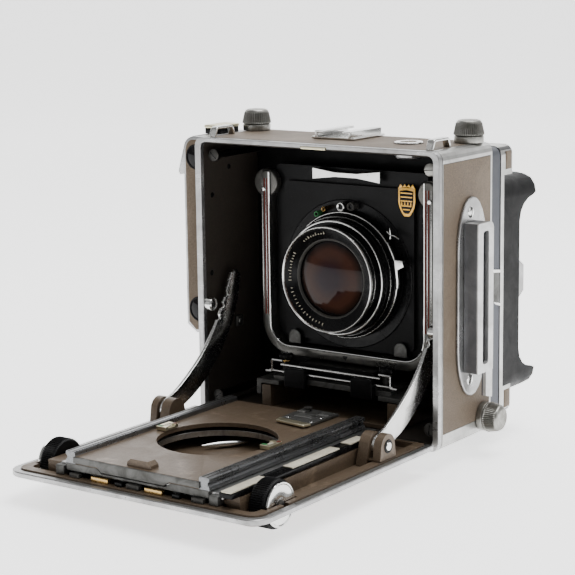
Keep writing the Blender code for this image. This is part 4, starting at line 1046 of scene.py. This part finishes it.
def makeBadge(look):
    # A plain shield: straight top, sides that curve in to a point, with a raised border
    cx, cz = look["centre"]
    t = np.linspace(0, 1, 14)
    right = np.stack([cx + look["wide"] / 2 * np.cos(t * math.pi / 2) ** 0.6,
                      cz + 2 - (look["tall"] / 2 + 2) * t], -1)
    left = right[::-1] * (-1, 1) + (2 * cx, 0)
    shield = np.concatenate([[(cx, cz + look["tall"] / 2 + 1.0),
                              (cx - look["wide"] / 2, cz + look["tall"] / 2)], left[1:-1],
                             right[:-1][::-1], [(cx + look["wide"] / 2, cz + look["tall"] / 2)]])
    angle = np.arctan2(shield[:, 1] - cz, shield[:, 0] - cx)
    shield = shield[np.argsort(angle)]
    field = (cx, cz) + (shield - (cx, cz)) * 0.78
    bars = [block((cx - wide, 38.2, cz + up), (cx + wide, 38.6, cz + up + 0.9), 0.12)
            for up, wide in ((5.6, 4.2), (3.2, 4.2), (0.8, 4.2), (-2.2, 3.6), (-4.4, 2.6))]
    bars += [block((cx + off - 0.4, 38.15, cz - 1.4), (cx + off + 0.4, 38.6, cz + 0.8),
                   0.12) for off in (-3.2, -1.1, 1.1, 3.2)]
    teeth = [plate([(cx + off - 1.5, cz + 9.2), (cx + off + 1.5, cz + 9.2), (cx + off, cz + 11.6)], "y",
                   38.7, 39.4, 0.1)
             for off in (-4.2, -1.4, 1.4, 4.2)]
    makePiece("badge", [plate(shield, "y", 38.7, 39.5, 0.25), plate(field, "y", 38.45, 39.2,
                                                                    0.15)] + bars + teeth,
              [gold, glossBlackAndShade] + [gold] * 13, "lens_rise")


lensPieces = {"centre": (0.0, 93.0), "knurls": 72, "tickTurns": ((196, 262, 5), (150, 190, 4),
                                                                 (96, 130, 4)),
              "tickRadius": 28.2, "bezelSlope": 0.571}


def makeLens(look):
    centre = look["centre"]

    def lensRing(corners, rounding=0.3, steps=160, ring=True, ripple=None):
        return turned(softProfile(corners, rounding), "y", centre, steps, ring, ripple)

    dish = lensRing([(40.4, 39.0), (45.6, 38.9), (46.6, 38.8), (47.2, 39.3), (40.4, 39.6)])
    wall = lensRing([(23.2, 39.3), (39.2, 39.3), (39.2, 34.4), (37.6, 33.6), (37.0, 27.2), (36.4, 26.5),
                     (23.2, 26.5)])
    rim = lensRing([(38.9, 33.6), (39.3, 33.1), (39.8, 33.3), (40.0, 34.0), (39.8, 34.8), (39.0, 34.6)],
                   0.15)
    line = lensRing([(36.9, 29.6), (37.5, 29.4), (37.5, 30.2), (36.9, 30.2)], 0.1)
    makePiece("shutterCase", [dish, wall, rim, line], [glossBlackAndShade, glossBlackAndShade, chrome, chrome], "lens_rise",
              ("shutter_housing",))
    ring = lensRing([(31.0, 26.3), (36.1, 26.3), (36.6, 25.8), (36.6, 23.2), (36.0, 22.6), (31.0, 22.6)],
                    0.2, 288, True,
                  (look["knurls"], 0.16, 23.4, 25.7))
    edge = lensRing([(34.6, 22.9), (35.0, 22.2), (35.9, 22.3), (36.1, 22.9)], 0.15)
    makePiece("speedRing", [ring, edge], [glossBlackAndShade, chrome], "shutter_speed",
              ("speed_ring",), 50)
    barrel = lensRing([(24.0, 26.3), (30.8, 26.3), (30.8, 21.0), (32.2, 19.6), (32.9, 18.4), (32.9, 16.2),
                       (31.6, 15.6),
                    (23.9, 20.0)])
    front = lensRing([(31.7, 15.5), (32.0, 14.6), (32.5, 14.1), (33.0, 14.3), (33.2, 14.9), (33.1, 15.8),
                      (32.4, 16.0)], 0.2)
    step = lensRing([(30.6, 21.6), (31.6, 21.2), (31.7, 22.0), (30.7, 22.3)], 0.15)
    inner = lensRing([(23.5, 20.6), (24.2, 19.5), (25.0, 19.3), (24.8, 20.4)], 0.15)
    ticks = []
    tickRadius = look["tickRadius"]
    for degrees in [turn for start, end, step in look["tickTurns"] for turn in range(start, end, step)]:
        turn = math.radians(degrees)
        way, side = np.array([math.cos(turn), math.sin(turn)]), np.array([-math.sin(turn), math.cos(turn)])
        long = 1.6 if degrees % 3 == 0 else 0.9
        corners = [centre + way * (tickRadius + a * long) + side * b * 0.16 for a,
                   b in ((0, -1), (1, -1), (1, 1), (0, 1))]
        depth = 15.6 + (31.6 - tickRadius) * look["bezelSlope"]
        ticks.append(plate(corners, "y", depth - 0.95, depth + 0.2, 0.03))
    makePiece("lensFront", [barrel, front, step, inner] + ticks,
              [glossBlackAndShade, chrome, chrome, darkMetalAndShade] + [ivory] * len(ticks), "lens_rise",
              ("lens_barrel",))
    t = np.linspace(0, 1, 30)
    dome = np.stack([np.maximum(23.6 * t, 0.01), 17.8 + 3.6 * t ** 2], -1)
    dome = np.concatenate([dome, [(23.6, 25.4), (0.01, 25.4)]])
    makePiece("frontElement", [turned(dome, "y", centre, 128)], lensGlass, "lens_rise",
              ("front_glass",))
    lever = [(r * math.cos(a), 93.0 + r * math.sin(a)) for a, r in
             [(math.radians(d), 42.2) for d in range(-6, 12, 2)] + [(math.radians(12), 47.2),
                                                                    (math.radians(17), 47.2)]
             + [(math.radians(d), 42.2) for d in range(19, 36, 2)] + [(math.radians(d),
                                                                       40.5) for d in range(34, -8, -2)]]
    makePiece("cockingArm", [plate(lever, "y", 30.2, 32.8, 0.4)], chrome, "shutter_cock",
              ("cocking_lever",))
    posts, finishes = [], []
    for x, z, radius, finish in ((-19.6, 130.2, 1.9, greenPaint), (-14.2, 133.7, 1.6, brass),
                                 (-1.5, 135.9, 2.9, chrome),
                                 (5.9, 136.6, 2.8, darkMetalAndShade)):
        posts.append(turned(softProfile([(radius * 0.55, 38.8), (radius, 38.8), (radius, 33.4),
                                         (radius * 0.85, 32.8),
                                         (radius * 0.55, 33.2)], 0.2), "y", (x, z), 32, ring=True))
        posts.append(turned([(0.01, 34.2), (radius * 0.56, 34.2), (radius * 0.56, 38.8), (0.01, 38.8)], "y",
                            (x, z), 24))
        finishes += [finish, glossBlackAndShade]
    for path, thick in (([(32.6, 33, 123.4), (35.4, 32.8, 121.2), (38.0, 32.8, 121.0), (41.3, 33, 119.2)],
                         0.6),
                        ([(34.6, 33, 125.6), (35.4, 32.8, 121.2), (35.0, 33, 119.0)], 0.5)):
        posts.append(tube(path, thick, 10))
        finishes.append(chrome)
    makePiece("shutterPosts", posts, finishes, "lens_rise")


bellowsLook = {"front": 48.0, "back": 61.4, "outer": 54.0, "inner": 49.6, "folds": 6, "centre": 92.0}


def makeBellows(look):
    # Square pleats: the half width swings between inner and outer as a rounded triangle wave along y
    t = np.linspace(0, 1, look["folds"] * 8 + 1)
    wave = 0.5 - 0.5 * np.cos(2 * math.pi * look["folds"] * t)
    half = look["inner"] + (look["outer"] - look["inner"]) * (0.15 + 0.85 * wave)
    unit = roundedBox(2.0, 2.0, 0.14, 5)
    place = look["front"] + (look["back"] - look["front"]) * t
    rows, places = [], []
    for thick, order in ((0.0, 1), (-1.0, -1)):
        rows.append((unit[None] * (half + thick)[:, None, None])[::order])
        places.append(place[::order])
    rows, places = np.concatenate(rows), np.concatenate(places)
    grid = along("y", rows[..., 0], look["centre"] + rows[..., 1], places[:, None])
    piece = makePiece("bellowsPleats", [gridShape(grid, wrapRows=True)], cloth, None,
                      ("bellows",))
    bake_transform(piece)


makeFrame(frameLook)
makeStandardFittings()
makeBadge(badgeLook)
makeLens(lensPieces)
makeBellows(bellowsLook)
print("lens standard made")


stageLook = {"floor": colour(243, 243, 242), "wall": colour(240, 240, 240), "glow": 1.6}


def makeStage():
    # One sweep: a flat floor that curves up into a back wall well behind the object
    w = Wiring("paleStage")
    cloud = w.noise(3, 2, 0.5)
    tone = w.blend(cloud, stageLook["floor"], stageLook["wall"])
    material = w.finish(Base_Color=tone, Roughness=0.7, Emission_Color=(1.0, 1.0, 1.0, 1.0),
                        Emission_Strength=stageLook["glow"])
    t = np.linspace(0, 1, 60)
    depth = np.where(t < 0.5, -4 + 12 * t, 2 + 1.2 * np.sin((t - 0.5) * math.pi))
    height = np.where(t < 0.5, 0, 1.2 * (1 - np.cos((t - 0.5) * math.pi)))
    height = np.where(t > 0.98, 4.0, height)
    across = np.array([-5.0, 5.0])
    grid = np.stack(np.broadcast_arrays(across[None], depth[:, None], height[:, None] - 0.0004), -1)
    turn = np.array(Matrix.Rotation(math.radians(35.5), 3, "Z"))
    points = grid.reshape(-1, 3) @ turn.T
    index = np.arange(len(points)).reshape(-1, 2)
    faces = np.stack([index[:-1, 0], index[:-1, 1], index[1:, 1], index[1:, 0]], -1)
    mesh = bpy.data.meshes.new("stageSweep")
    mesh.from_pydata(points.tolist(), [], faces.tolist())
    mesh.shade_smooth()
    mesh.materials.append(material)
    sweep = bpy.data.objects.new("stageSweep", mesh)
    bpy.context.collection.objects.link(sweep)


lightLook = {"world": 0.3, "key": 34.0, "rim": 4.0, "fill": 1.0}


def areaLight(name, place, target, size, power):
    data = bpy.data.lights.new(name, "AREA")
    data.shape = "RECTANGLE"
    data.size, data.size_y = size
    data.energy = power
    lamp = bpy.data.objects.new(name, data)
    lamp.location = place
    lamp.rotation_mode = "QUATERNION"
    lamp.rotation_quaternion = (Vector(target) - Vector(place)).to_track_quat("-Z", "Y")
    bpy.context.collection.objects.link(lamp)


def makeLights():
    world = bpy.data.worlds.new("softStudio")
    world.use_nodes = True
    world.node_tree.nodes["Background"].inputs[0].default_value = (1.0, 1.0, 1.0, 1.0)
    world.node_tree.nodes["Background"].inputs[1].default_value = lightLook["world"]
    bpy.context.scene.world = world
    areaLight("keyAbove", (0.25, 0.25, 1.5), (0, -0.02, 0.05), (1.4, 1.0), lightLook["key"])
    areaLight("rimRight", (1.3, 0.5, 0.6), (0.05, 0, 0.1), (0.9, 0.9), lightLook["rim"])
    areaLight("fillLeft", (-0.9, -1.2, 0.7), (0, 0, 0.1), (1.0, 1.0), lightLook["fill"])


cameraLook = {"place": (620.1, -895.1, 295.8), "azimuth": 35.514, "elevation": 10.654, "roll": -0.776,
              "lens": 114.21}


def makeCamera():
    data = bpy.data.cameras.new("studyCamera")
    data.lens = cameraLook["lens"]
    data.sensor_width = 36.0
    data.clip_start, data.clip_end = 0.05, 40
    viewer = bpy.data.objects.new("studyCamera", data)
    a, e = math.radians(cameraLook["azimuth"]), math.radians(cameraLook["elevation"])
    back = Vector((math.sin(a) * math.cos(e), -math.cos(a) * math.cos(e), math.sin(e)))
    viewer.rotation_mode = "QUATERNION"
    level = (-back).to_track_quat("-Z", "Y")
    viewer.rotation_quaternion = level @ Matrix.Rotation(math.radians(cameraLook["roll"]), 3,
                                                         "Z").to_quaternion()
    viewer.location = Vector((np.array(cameraLook["place"]) * mm + startPoint).tolist())
    bpy.context.collection.objects.link(viewer)
    bpy.context.scene.camera = viewer


makeStage()
makeLights()
makeCamera()
print("stage, lights and camera placed")
